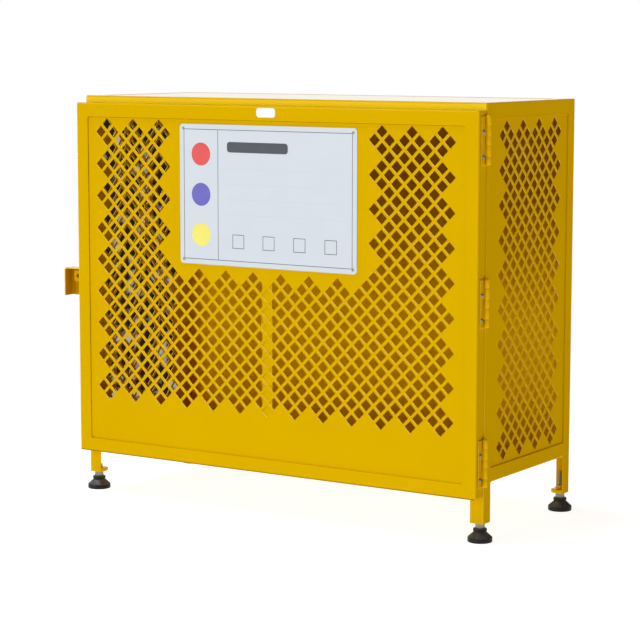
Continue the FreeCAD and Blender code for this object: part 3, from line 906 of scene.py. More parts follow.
class WeldBead(Recipe):
    """Rippled bead along every edge path of the base mesh, thin at its ends."""

    STEPS_PER_RIPPLE = 6.0
    RIPPLE_DEPTH = 0.1
    BLUNTNESS = 0.25
    SIDES = 12
    LEAST_MM = 0.1

    def __init__(self) -> None:
        """Builds the tree."""
        super().__init__("weld bead", ["Radius", "Ripple"])
        given = self.given
        path = self.add("GeometryNodeMeshToCurve", {"Mesh": given["Base"]})
        step = self.add("ShaderNodeMath", {0: given["Ripple"], 1: self.STEPS_PER_RIPPLE}, operation="DIVIDE")
        spaced = self.add("GeometryNodeResampleCurve", {"Curve": path, "Length": step}, mode="LENGTH")
        along = add_node(self.tree, "GeometryNodeSplineParameter").outputs
        turns = self.add("ShaderNodeMath", {0: along["Length"], 1: 2.0 * math.pi}, operation="MULTIPLY")
        angle = self.add("ShaderNodeMath", {0: turns, 1: given["Ripple"]}, operation="DIVIDE")
        wave = self.add("ShaderNodeMath", {0: angle}, operation="SINE")
        swell = self.add("ShaderNodeMath", {
            0: wave, 1: self.RIPPLE_DEPTH, 2: 1.0 - self.RIPPLE_DEPTH}, operation="MULTIPLY_ADD")
        # With f for the share of the path, 4 f (1 - f) is one in the middle and nought at both ends.
        rest = self.add("ShaderNodeMath", {0: 1.0, 1: along["Factor"]}, operation="SUBTRACT")
        hump = self.add("ShaderNodeMath", {0: along["Factor"], 1: rest}, operation="MULTIPLY")
        full = self.add("ShaderNodeMath", {0: hump, 1: 4.0}, operation="MULTIPLY")
        taper = self.add("ShaderNodeMath", {0: full, 1: self.BLUNTNESS}, operation="POWER")
        share = self.add("ShaderNodeMath", {0: swell, 1: taper}, operation="MULTIPLY")
        width = self.add("ShaderNodeMath", {0: share, 1: given["Radius"]}, operation="MULTIPLY")
        drawn = self.add("ShaderNodeMath", {0: width, 1: self.LEAST_MM * MM}, operation="MAXIMUM")
        ring = self.add("GeometryNodeCurvePrimitiveCircle", {"Resolution": self.SIDES, "Radius": 1.0})
        bead = self.add("GeometryNodeCurveToMesh", {
            "Curve": spaced, "Profile Curve": ring, "Fill Caps": True, "Scale": drawn})
        self.end(self.add("GeometryNodeSetShadeSmooth", {"Geometry": bead}))


# Sub-assemblies

@dataclass
class DiamondField:
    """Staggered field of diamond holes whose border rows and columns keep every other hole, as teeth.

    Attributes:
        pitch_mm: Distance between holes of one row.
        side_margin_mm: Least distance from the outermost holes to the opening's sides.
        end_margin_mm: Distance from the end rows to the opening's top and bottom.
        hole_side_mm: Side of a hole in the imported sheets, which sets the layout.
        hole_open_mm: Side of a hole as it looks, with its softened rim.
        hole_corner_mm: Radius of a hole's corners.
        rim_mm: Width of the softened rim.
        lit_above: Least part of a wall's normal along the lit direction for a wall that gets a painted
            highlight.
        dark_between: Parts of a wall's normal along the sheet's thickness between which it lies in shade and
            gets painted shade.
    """

    pitch_mm: float = 44.45
    side_margin_mm: float = 20.0
    end_margin_mm: float = 3.5
    hole_side_mm: float = 22.6
    hole_open_mm: float = 23.2
    hole_corner_mm: float = 0.8
    rim_mm: float = 0.8
    lit_above: float = 0.3
    dark_between: Range = (-0.6, 0.2)

    @property
    def step(self) -> float:
        """Half a pitch in metres."""
        return self.pitch_mm * MM / 2.0

    @property
    def tip(self) -> float:
        """Half a hole's diagonal in metres."""
        return self.hole_side_mm * MM / math.sqrt(2.0)

    def odd_columns(self, half_width: float) -> int:
        """Largest odd count of half pitches that keeps the hole centres within half_width."""
        return 2 * math.floor((half_width / self.step - 1.0) / 2.0) + 1

    def toothed_rows(self, height: float) -> int:
        """Largest count of half-pitch rows, two more than a multiple of four, within a height."""
        return 4 * math.floor((height / self.step - 2.0) / 4.0) + 2

    def cells(self, half_columns: int, rows: int) -> list[tuple[int, int]]:
        """Places of the holes on a grid of half pitches.

        Args:
            half_columns: Columns on each side of the middle one.
            rows: Rows below the top one.

        Returns:
            Column and row of every hole, from the middle of the top row.
        """
        holes = []
        # The grid's step is half a pitch, so every other hole of a border lies four steps on.
        for row in range(rows + 1):
            for column in range(-half_columns, half_columns + 1):
                staggered = (column + row) % 2 == 0
                end_gap = row in (0, rows) and (column - half_columns + 1) % 4 != 0
                side_gap = abs(column) == half_columns and row % 4 != 1
                if staggered and not end_gap and not side_gap:
                    holes.append((column, row))
        return holes


@dataclass
class Assembly:
    """What every sub-assembly shares: softened nodes, and new pieces on a body."""

    body: str = Body.CABINET.value
    edge_mm: float = 0.5
    seam_mm: float = 1.5
    seam_ripple_mm: float = 24.0
    made: list[str] = field(default_factory=list)

    def dress(self, node: str, coats: Coats = PAINTED) -> None:
        """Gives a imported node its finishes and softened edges, with its own mesh left as it is.

        Args:
            node: Name of the node.
            coats: Finishes of its surfaces.
        """
        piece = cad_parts[node]
        coat(piece, coats.flat, coats.edge, coats.bend, coats.top)
        for face in piece.data.polygons:
            level = Surface.TOP if face.normal.z > SQUARE_ON else Surface.FLAT
            face.material_index = level if max(map(abs, face.normal)) > SQUARE_ON else Surface.BEND
        weld = piece.modifiers.new("joined corners", "WELD")
        weld.merge_threshold = MERGE_MM * MM
        soften(piece, self.edge_mm, Surface.EDGE)
        self.made.append(node)

    def recoat(self, node: str, finish: Finish, chosen: Callable[[Vector, Vector], bool]) -> None:
        """Gives some faces of a dressed node another finish.

        Args:
            node: Name of the node.
            finish: Finish of those faces.
            chosen: Whether a face with this middle and normal is one of them.
        """
        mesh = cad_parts[node].data
        mesh.materials.append(finish.material())
        for face in mesh.polygons:
            if chosen(face.center, face.normal):
                face.material_index = len(mesh.materials) - 1

    def mount(self, piece: bpy.types.Object, slot: Slot, *replaced: str) -> None:
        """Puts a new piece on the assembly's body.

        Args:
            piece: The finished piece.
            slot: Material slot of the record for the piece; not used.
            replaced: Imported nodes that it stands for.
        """
        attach(piece, self.body)
        if replaced:
            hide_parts(*replaced)
        self.made.append(piece.name)

    def painted(self, name: str, form: bmesh.types.BMesh, finish: Finish) -> bpy.types.Object:
        """Makes a piece with one finish all over.

        Args:
            name: Name of the piece.
            form: Its bmesh, which is freed.
            finish: Its finish.

        Returns:
            The new piece.
        """
        piece = new_object(name, mesh_from(name, form))
        coat(piece, finish)
        return piece

    def beads(self, name: str, paths: Sequence[Sequence[Vector]], radius_mm: float, ripple_mm: float,
              finish: Finish = ENAMEL) -> None:
        """Lays enamelled beads along paths, all in one piece.

        Args:
            name: Name of the piece.
            paths: Corner points of each bead's path.
            radius_mm: Radius of the beads.
            ripple_mm: Spacing of their ripples.
            finish: Finish of the beads.
        """
        points: list[Vector] = []
        edges: list[tuple[int, int]] = []
        for path in paths:
            edges += [(len(points) + at, len(points) + at + 1) for at in range(len(path) - 1)]
            points += path
        base = bpy.data.meshes.new(name)
        base.from_pydata(points, edges, [])
        piece = WeldBead().make(name, base, finish, Radius=radius_mm * MM, Ripple=ripple_mm * MM)
        self.mount(piece, Slot.ENAMEL)

    def seal_with_shade_line(self, name: str, paths: Sequence[Sequence[Vector]]) -> None:
        """Lays a sealed seam along paths, as one piece, dark as a painted shadow line."""
        self.beads(name, paths, self.seam_mm, self.seam_ripple_mm, ENAMEL_SEAM_AND_SHADE)

    def units(self, name: str, unit: bpy.types.Object, places: Sequence[Vector], facing: Vector,
              replaced: str) -> None:
        """Puts a zinc-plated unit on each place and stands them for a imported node.

        Args:
            name: Name of the piece.
            unit: Object that is copied and then removed.
            places: Where the copies go.
            facing: Direction of their Z.
            replaced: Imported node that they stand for.
        """
        base = bpy.data.meshes.new(name)
        base.from_pydata(places, [], [])
        piece = UnitsOnPoints().make(name, base, ZINC, Unit=unit, Facing=facing)
        bpy.data.objects.remove(unit)
        self.mount(piece, Slot.ZINC, replaced)

    def sheet(self, name: str, node: str, holes: Sequence[Point], size: Vector, place: Matrix,
              rim: Finish, rim_facing: Vector) -> None:
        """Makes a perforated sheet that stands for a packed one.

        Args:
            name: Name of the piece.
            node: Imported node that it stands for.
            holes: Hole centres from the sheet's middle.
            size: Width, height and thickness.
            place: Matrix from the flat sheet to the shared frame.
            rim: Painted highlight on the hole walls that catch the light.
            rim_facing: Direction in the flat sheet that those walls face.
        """
        pattern = DiamondField()
        log.info("%s: %d holes", name, len(holes))
        base = bpy.data.meshes.new(name)
        base.from_pydata([(x, y, 0.0) for x, y in holes], [], [])
        piece = PerforatedSheet().make(
            name, base, ENAMEL, Width=size.x, Height=size.y, Thickness=size.z,
            Hole_Side=pattern.hole_open_mm * MM, Hole_Corner=pattern.hole_corner_mm * MM)
        # The rim takes a painted highlight, walls in shade take painted shade, and softened edges take a
        # painted highlight.
        coat(piece, ENAMEL, rim, ENAMEL_SEAM_AND_SHADE, ENAMEL_EDGE_HIGHLIGHT)
        soften(piece, pattern.rim_mm, SheetSurface.EDGE)
        plain_mesh(piece)
        for face in piece.data.polygons:
            if face.normal.dot(rim_facing) > pattern.lit_above:
                face.material_index = SheetSurface.LIT_WALL
            elif pattern.dark_between[0] < face.normal.z < pattern.dark_between[1]:
                face.material_index = SheetSurface.DARK_WALL
        piece.data.transform(place)
        self.mount(piece, Slot.ENAMEL, node)


@dataclass
class Cabinet(Assembly):
    """Angle-iron cabinet with perforated sides and a plain back, roof and floor."""

    edge_mm: float = 0.2
    bead_mm: float = 5.5
    ripple_mm: float = 3.6
    roof_gap_mm: float = 2.0
    roof_drop_mm: float = 0.4
    roof_corner_mm: float = 3.0
    rim_facing: Triple = (-1.0, 0.0, 0.0)

    def side_sheet(self, side: str) -> None:
        """Makes the perforated sheet of one side, with its holes centred in the clear opening.

        Args:
            side: Left or right, as the nodes' names say it.
        """
        node = f"side_sheet_{side}"
        pattern = DiamondField()
        low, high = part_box(node)
        rail_low, rail_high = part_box(f"bottom_rail_{side}")
        opening_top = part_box(f"top_rail_{side}")[0].z
        clear_half = (rail_high.y - rail_low.y) / 2.0 - pattern.side_margin_mm * MM - pattern.tip
        clear_height = opening_top - rail_high.z - 2.0 * pattern.end_margin_mm * MM - 2.0 * pattern.tip
        columns = pattern.odd_columns(clear_half)
        rows = pattern.toothed_rows(clear_height)
        centre = middle_of(node)
        top_row = (rail_high.z + opening_top + rows * pattern.step) / 2.0 - centre.z
        holes = [(c * pattern.step, top_row - r * pattern.step) for c, r in pattern.cells(columns, rows)]
        # The flat sheet's X runs to the cage's back, its Y up and its Z to the right.
        stand = Matrix(((0, 0, 1, low.x), (1, 0, 0, centre.y), (0, 1, 0, centre.z), (0, 0, 0, 1)))
        size = high - low
        self.sheet(f"perforated_side_{side}", node, holes, Vector((size.y, size.z, size.x)), stand,
                   ENAMEL_PALE_HIGHLIGHT, Vector(self.rim_facing))

    def roof(self) -> None:
        """Roof sheet with its middle pressed up between the rails, so that rain runs off."""
        low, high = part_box("roof_sheet")
        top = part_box("top_rail_front")[1].z
        gap = self.roof_gap_mm * MM
        left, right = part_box("top_rail_left")[1].x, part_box("top_rail_right")[0].x
        front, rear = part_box("top_rail_front")[1].y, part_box("top_rail_rear")[0].y
        centre = middle_of("roof_sheet")
        form = bmesh.new()
        rim = rounded_outline(high.x - low.x, high.y - low.y, self.roof_corner_mm * MM)
        add_slab(form, rim, Matrix.Translation((centre.x, centre.y, low.z)), high.z - low.z)
        pan = rounded_outline(right - left - 2.0 * gap, rear - front - 2.0 * gap, self.roof_corner_mm * MM)
        middle = Matrix.Translation(((left + right) / 2.0, (front + rear) / 2.0, centre.z))
        add_slab(form, pan, middle, top - self.roof_drop_mm * MM - centre.z)
        piece = self.painted("pressed_roof", form, ENAMEL_TOP)
        soften(piece, self.edge_mm)
        plain_mesh(piece)
        self.mount(piece, Slot.ENAMEL, "roof_sheet")

    def rail_welds(self) -> None:
        """Fillet beads under the floor rails where they meet the posts."""
        paths = []
        for side in ("front", "rear"):
            low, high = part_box(f"bottom_rail_{side}")
            paths += [[Vector((x, low.y, low.z)), Vector((x, high.y, low.z))] for x in (low.x, high.x)]
        for side in ("left", "right"):
            low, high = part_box(f"bottom_rail_{side}")
            paths += [[Vector((low.x, y, low.z)), Vector((high.x, y, low.z))] for y in (low.y, high.y)]
        self.beads("floor_rail_welds", paths, self.bead_mm, self.ripple_mm)

    def seams(self) -> None:
        """Sealed seams where the side sheets meet the top rails, dark as painted shadow lines."""
        paths = []
        for side, outer in (("left", 0), ("right", 1)):
            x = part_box(f"side_sheet_{side}")[outer].x
            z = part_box(f"top_rail_{side}")[0].z
            ends = (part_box(f"post_front_{side}")[1].y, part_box(f"post_rear_{side}")[0].y)
            paths.append([Vector((x, y, z)) for y in ends])
        self.seal_with_shade_line("side_seams", paths)

    def build(self) -> None:
        """Dresses and builds the cabinet."""
        for corner in Corner:
            self.dress(f"post_{corner.value}")
        for side in ("front", "rear", "left", "right"):
            self.dress(f"top_rail_{side}", PAINTED_LIT if side == "front" else PAINTED_FAR)
            self.dress(f"bottom_rail_{side}", PAINTED_LEDGE)
        for node in ("back_sheet", "floor_sheet", "foot_nuts"):
            self.dress(node)
        # Painted shade at the top of the bay's back, painted light towards its floor.
        self.recoat("back_sheet", ENAMEL_BAY_SHADING, lambda middle, normal: normal.y < -FACING)
        self.roof()
        self.side_sheet("left")
        self.side_sheet("right")
        self.seams()
        self.rail_welds()


@dataclass
class Door(Assembly):
    """Mitred door frame with its perforated sheet, stiffener and a blank label."""

    body: str = Body.DOOR.value
    edge_mm: float = 0.2
    plain_band_mm: float = 105.0
    opening_corner_mm: float = 8.0
    label_mm: tuple[float, float, float] = (60.0, 25.0, 0.5)
    label_corner_mm: float = 9.0
    label_drop_mm: float = 17.0
    stitch_mm: float = 26.0
    stitch_count: int = 6
    rim_facing: Triple = (0.707, 0.707, 0.0)
    bead_mm: float = 2.2
    ripple_mm: float = 2.6

    def opening(self) -> tuple[float, float, float, float]:
        """Straight edges of the frame's opening, whose round corners reach into it.

        Returns:
            Left and right X, then lower and upper Z.
        """
        bulge = self.opening_corner_mm * MM * (1.0 - math.sqrt(0.5))
        return (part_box("door_stile_left")[1].x - bulge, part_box("door_stile_right")[0].x + bulge,
                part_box("door_rail_bottom")[1].z - bulge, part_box("door_rail_top")[0].z + bulge)

    def holes(self) -> list[Point]:
        """Lays out the holes, less the ones behind the sign plate.

        Returns:
            Hole centres from the sheet's middle.
        """
        pattern = DiamondField()
        centre = middle_of("door_sheet")
        sign_low, sign_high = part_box("sign_plate")
        left, _, low, high = self.opening()
        columns = pattern.odd_columns(centre.x - left - pattern.side_margin_mm * MM - pattern.tip)
        used = high - low - (pattern.end_margin_mm + self.plain_band_mm) * MM
        rows = pattern.toothed_rows(used - 2.0 * pattern.tip)
        top_row = high - pattern.end_margin_mm * MM - pattern.tip
        # The blank field is one tooth wider and one tooth deeper than the sign.
        blank_columns = pattern.odd_columns((sign_high.x - sign_low.x) / 2.0 + pattern.tip) + 2
        blank_rows = pattern.toothed_rows(top_row + pattern.tip - sign_low.z) + 4
        kept = []
        for column, row in pattern.cells(columns, rows):
            beside = abs(column) > blank_columns or (abs(column) == blank_columns and row % 4 == 1)
            tooth = row == blank_rows and (column - blank_columns + 1) % 4 == 0
            if beside or tooth or row > blank_rows:
                kept.append((column * pattern.step, top_row - row * pattern.step - centre.z))
        return kept

    def perforated(self) -> None:
        """The door's perforated sheet."""
        low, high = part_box("door_sheet")
        centre = middle_of("door_sheet")
        size = high - low
        self.sheet("perforated_door", "door_sheet", self.holes(), Vector((size.x, size.z, size.y)),
                   upright_plane(centre.x, high.y, centre.z), ENAMEL_RIM_HIGHLIGHT, Vector(self.rim_facing))

    def label(self) -> None:
        """Small blank label in the middle of the top rail."""
        rail_low, rail_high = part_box("door_rail_top")
        width, height, thickness = (size * MM for size in self.label_mm)
        form = bmesh.new()
        drop = self.label_drop_mm * MM
        place = upright_plane(middle_of("door_sheet").x, rail_low.y, rail_high.z - drop)
        add_slab(form, rounded_outline(width, height, self.label_corner_mm * MM, steps=8), place, thickness)
        piece = self.painted("blank_label", form, LABEL_WHITE)
        soften(piece, self.edge_mm)
        plain_mesh(piece)
        self.mount(piece, Slot.SIGN)

    def stitches(self) -> None:
        """Stitch welds along both edges of the stiffener, on the inside of the door."""
        low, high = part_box("door_stiffener")
        half = self.stitch_mm * MM / 2.0
        spacing = (high.z - low.z) / self.stitch_count
        paths = []
        for number in range(self.stitch_count):
            z = low.z + (number + 0.5) * spacing
            paths += [[Vector((x, low.y, z - half)), Vector((x, low.y, z + half))] for x in (low.x, high.x)]
        self.beads("stiffener_welds", paths, self.bead_mm, self.ripple_mm)

    def seam(self) -> None:
        """Sealed seam down both sides and along the top of the frame's opening: a painted shadow line where
        the sheet meets it.
        """
        left, right, low, high = self.opening()
        place = upright_plane((left + right) / 2.0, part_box("door_sheet")[0].y, (low + high) / 2.0)
        outline = rounded_outline(right - left, high - low, self.opening_corner_mm * MM)
        lower_right = len(outline) * 3 // 4
        path = [place @ Vector((x, y, 0.0)) for x, y in outline[lower_right:] + outline[:lower_right]]
        self.seal_with_shade_line("door_seam", [path])

    def build(self) -> None:
        """Dresses and builds the door."""
        for node in ("door_stile_left", "door_rail_top", "door_stiffener"):
            self.dress(node)
        # Painted light on the left stile's inner side, which faces right.
        self.recoat("door_stile_left", ENAMEL_PAINTED_LIGHT, lambda middle, normal: normal.x > FACING)
        self.dress("door_stile_right", PAINTED_STILE)
        self.dress("door_rail_bottom", PAINTED_LOW)
        self.perforated()
        self.seam()
        self.label()
        self.stitches()


@dataclass
class Sign(Assembly):
    """White plate on the door with a plain printed board, held by four rivets.

    Shares are of the print's height, and of the width of its field beside the dots.
    """

    body: str = Body.DOOR.value
    edge_mm: float = 0.3
    ink_mm: float = 0.08
    inset_mm: float = 14.0
    line_mm: float = 1.6
    end_round: float = 0.3
    dot_mm: float = 62.0
    dot_sides: int = 48
    dot_column_mm: float = 112.0
    dot_pitch_share: float = 0.31
    heading_size_share: Point = (0.46, 0.08)
    heading_place_share: Point = (-0.2, 0.37)
    ruled_lines: int = 4
    ruled_width_share: float = 0.86
    ruled_top_share: float = 0.2
    ruled_pitch_share: float = 0.115
    tick_boxes: int = 4
    tick_box_mm: float = 36.0
    tick_place_share: float = -0.35
    tick_pitch_share: float = 0.23
    rivet_head_mm: float = 4.2
    rivet_rise_mm: float = 1.5
    rivet_shank_mm: float = 2.0
    rivet_tail_mm: float = 3.2
    rivet_tail_taper: float = 0.7
    rivet_tail_chamfer_mm: float = 0.8
    rivet_sides: int = 24
    dome_angles: tuple[float, ...] = (0.25, 0.5, 0.75, 1.0, 1.2)
    mandrel_mm: float = 1.3
    mandrel_shares: tuple[Point, ...] = ((1.0, 0.9), (0.9, 0.6), (0.0, 0.65))

    def printed(self, name: str, ink: Finish, shapes: Sequence[tuple[Sequence[Point], Point]]) -> None:
        """Prints flat shapes in one ink.

        Args:
            name: Name of the piece.
            ink: Finish of the print.
            shapes: Outline and middle of each shape, from the sign's middle.
        """
        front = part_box("sign_plate")[0].y
        centre = middle_of("sign_plate")
        form = bmesh.new()
        for outline, (x, y) in shapes:
            add_slab(form, outline, upright_plane(centre.x + x, front, centre.z + y), self.ink_mm * MM)
        self.mount(self.painted(name, form, ink), Slot.SIGN)

    def bar(self, width: float, height: float) -> list[Point]:
        """Outline of a plain bar with rounded ends."""
        return rounded_outline(width, height, min(width, height) * self.end_round, steps=3)

    def board(self) -> None:
        """Prints a blank tally board: a frame, three dots, a heading bar, ruled lines and tick boxes."""
        low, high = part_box("sign_plate")
        line = self.line_mm * MM
        width = high.x - low.x - 2.0 * self.inset_mm * MM
        height = high.z - low.z - 2.0 * self.inset_mm * MM
        column = self.dot_column_mm * MM
        divide = column - width / 2.0
        field_width = width - column
        field_x = divide + field_width / 2.0
        dark = [(self.bar(width + line, line), (0.0, side * height / 2.0)) for side in (-1, 1)]
        dark += [(self.bar(line, height + line), (x, 0.0)) for x in (-width / 2.0, divide, width / 2.0)]
        heading = self.bar(field_width * self.heading_size_share[0], height * self.heading_size_share[1])
        right, up = self.heading_place_share
        dark.append((heading, (field_x + field_width * right, height * up)))
        rule = self.bar(field_width * self.ruled_width_share, line)
        rule_ys = [height * (self.ruled_top_share - self.ruled_pitch_share * number)
                   for number in range(self.ruled_lines)]
        pale = [(rule, (field_x, y)) for y in rule_ys]
        box = self.tick_box_mm * MM
        box_y = height * self.tick_place_share
        for number in range(self.tick_boxes):
            x = field_x + (number - (self.tick_boxes - 1) / 2.0) * field_width * self.tick_pitch_share
            for side in (-1, 1):
                dark.append((self.bar(box + line, line), (x, box_y + side * box / 2.0)))
                dark.append((self.bar(line, box + line), (x + side * box / 2.0, box_y)))
        self.printed("sign_print_dark", INK_DARK, dark)
        self.printed("sign_print_pale", INK_PALE, pale)
        disc = arc((0.0, 0.0), self.dot_mm * MM / 2.0, 0.0, 360.0, self.dot_sides)[:-1]
        for colour, ink, row in (("red", INK_RED, 1), ("blue", INK_BLUE, 0), ("yellow", INK_YELLOW, -1)):
            place = (divide - column / 2.0, row * height * self.dot_pitch_share)
            self.printed(f"sign_print_{colour}", ink, [(disc, place)])

    def rivet(self) -> bpy.types.Object:
        """Makes one blind rivet with a domed head along Z and its tail behind the door sheet.

        Returns:
            The rivet, seated on the sign at its origin.
        """
        head, rise, shank = self.rivet_head_mm * MM, self.rivet_rise_mm * MM, self.rivet_shank_mm * MM
        tail, pin = self.rivet_tail_mm * MM, self.mandrel_mm * MM
        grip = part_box("door_sheet")[1].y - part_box("sign_plate")[0].y
        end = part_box("sign_rivets")[1].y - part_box("sign_plate")[0].y
        shoulder = -grip - self.rivet_tail_chamfer_mm * MM
        profile = [(0.0, -end), (tail * self.rivet_tail_taper, -end), (tail, shoulder), (tail, -grip),
                   (shank, -grip), (shank, 0.0), (head, 0.0)]
        profile += [(head * math.cos(angle), rise * math.sin(angle)) for angle in self.dome_angles]
        profile += [(pin * across, rise * up) for across, up in self.mandrel_shares]
        return new_object("rivet", mesh_from("rivet", lathe(profile, self.rivet_sides)))

    def rivets(self) -> None:
        """Rivets in the sign's corners."""
        low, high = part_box("sign_rivets")
        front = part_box("sign_plate")[0].y
        reach = self.rivet_head_mm * MM
        places = [Vector((x, front, z)) for x in (low.x + reach, high.x - reach)
                  for z in (low.z + reach, high.z - reach)]
        self.units("sign_rivet_set", self.rivet(), places, Vector((0.0, -1.0, 0.0)), "sign_rivets")

    def build(self) -> None:
        """Dresses the plate and adds its print and rivets."""
        self.dress("sign_plate", COATED_SIGN)
        self.board()
        self.rivets()


@dataclass
class Hinges(Assembly):
    """Three butt hinges with welded frame leaves and screwed door leaves."""

    edge_mm: float = 0.5
    screw_spacing_mm: float = 63.0
    screw_drop_mm: float = 9.5
    leaf_wall_mm: float = 3.0
    screw_mm: float = 2.5
    screw_sides: int = 36
    point_taper: float = 0.8
    point_mm: float = 0.5
    head_mm: float = 5.3
    head_rise_mm: float = 5.2
    dome_angles: tuple[float, ...] = (0.0, 0.15, 0.35, 0.55, 0.75, 0.9, 1.05)
    socket_angle: float = 1.12
    socket_mm: float = 3.6
    socket_depth_mm: float = 1.8
    weld_inset_mm: float = 8.0
    bead_mm: float = 2.0
    ripple_mm: float = 2.4

    def screw(self) -> bpy.types.Object:
        """Makes one button-head screw with a hexagon socket, along Z.

        Returns:
            The screw, seated on the leaf at its origin.
        """
        shank, head, rise = self.screw_mm * MM, self.head_mm * MM, self.head_rise_mm * MM
        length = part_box("hinge_door_leaf_top")[0].x + self.leaf_wall_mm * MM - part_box("hinge_screws")[0].x
        profile = [(0.0, -length), (shank * self.point_taper, -length),
                   (shank, -length + self.point_mm * MM), (shank, 0.0)]
        profile += [(head * math.cos(angle), rise * math.sin(angle)) for angle in self.dome_angles]
        socket_from = len(profile)
        rim = rise * math.sin(self.socket_angle)
        floor = rim - self.socket_depth_mm * MM
        profile += [(self.socket_mm * MM, rim), (self.socket_mm * MM, floor), (0.0, floor)]
        form = lathe(profile, self.screw_sides, self.socket_mm * MM, socket_from)
        return new_object("screw", mesh_from("screw", form))

    def screws(self) -> None:
        """Screws of all three hinges."""
        places = []
        y = middle_of("hinge_screws").y
        for level in Level:
            leaf = f"hinge_door_leaf_{level.value}"
            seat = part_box(leaf)[0].x + self.leaf_wall_mm * MM
            z = middle_of(leaf).z - self.screw_drop_mm * MM
            places += [Vector((seat, y, z + side * self.screw_spacing_mm * MM / 2.0)) for side in (-1, 1)]
        self.units("hinge_screw_set", self.screw(), places, Vector((1.0, 0.0, 0.0)), "hinge_screws")

    def welds(self) -> None:
        """Beads that hold the frame leaves on the cabinet's front."""
        paths = []
        inset = self.weld_inset_mm * MM
        for level in Level:
            low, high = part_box(f"hinge_frame_leaf_{level.value}")
            paths.append([Vector((low.x, high.y, low.z + inset)), Vector((low.x, high.y, high.z - inset))])
        self.beads("hinge_welds", paths, self.bead_mm, self.ripple_mm)

    def build(self) -> None:
        """Dresses the leaves and pins and adds the screws and welds."""
        for level in Level:
            self.dress(f"hinge_pin_{level.value}")
            for leaf in ("hinge_frame_leaf", "hinge_door_leaf"):
                self.dress(f"{leaf}_{level.value}", PAINTED_HINGE)
        self.dress("hinge_nuts", PLATED)
        self.welds()
        self.body = Body.DOOR.value
        self.screws()


@dataclass
class Lock(Assembly):
    """Hasp tab on the door and lock shroud on the cabinet, with their welds."""

    shroud_weld_inset_mm: float = 9.0
    skin_mm: float = 1.0
    bead_mm: float = 2.6
    ripple_mm: float = 2.6

    def upright_weld(self, name: str, x: float, y: float, low: float, high: float) -> None:
        """Lays one upright bead.

        Args:
            name: Name of the piece.
            x: Place of the bead along X.
            y: Place of the bead along Y.
            low: Height of its lower end.
            high: Height of its upper end.
        """
        self.beads(name, [[Vector((x, y, low)), Vector((x, y, high))]], self.bead_mm, self.ripple_mm)

    def shade_shroud(self) -> None:
        """Gives the shroud's front edge a painted highlight and its sheltered inside painted shade."""
        low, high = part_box("lock_shroud")
        skin = Vector((1.0, 1.0, 1.0)) * self.skin_mm * MM
        inner_low, inner_high = low + skin, high - skin

        def inside(middle: Vector, normal: Vector) -> bool:
            """Whether a face lies within the shroud's outer skin, open towards the post."""
            sheltered = middle.x > inner_low.x and inner_low.y < middle.y < inner_high.y
            return sheltered and inner_low.z < middle.z < inner_high.z

        # Painted shade inside the shroud, painted highlight on its front edge.
        self.recoat("lock_shroud", ENAMEL_PAINTED_SHADE, inside)
        self.recoat("lock_shroud", ENAMEL_PALE_HIGHLIGHT, lambda middle, normal: middle.y < inner_low.y)

    def build(self) -> None:
        """Dresses both pieces and adds their welds."""
        self.dress("lock_shroud", PAINTED_LOCK)
        self.shade_shroud()
        self.dress("hasp_tab", PAINTED_LOCK)
        low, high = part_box("lock_shroud")
        inset = self.shroud_weld_inset_mm * MM
        self.upright_weld("shroud_welds", high.x, high.y, low.z + inset, high.z - inset)
        low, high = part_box("hasp_tab")
        self.body = Body.DOOR.value
        self.upright_weld("tab_welds", high.x, low.y, low.z, high.z)


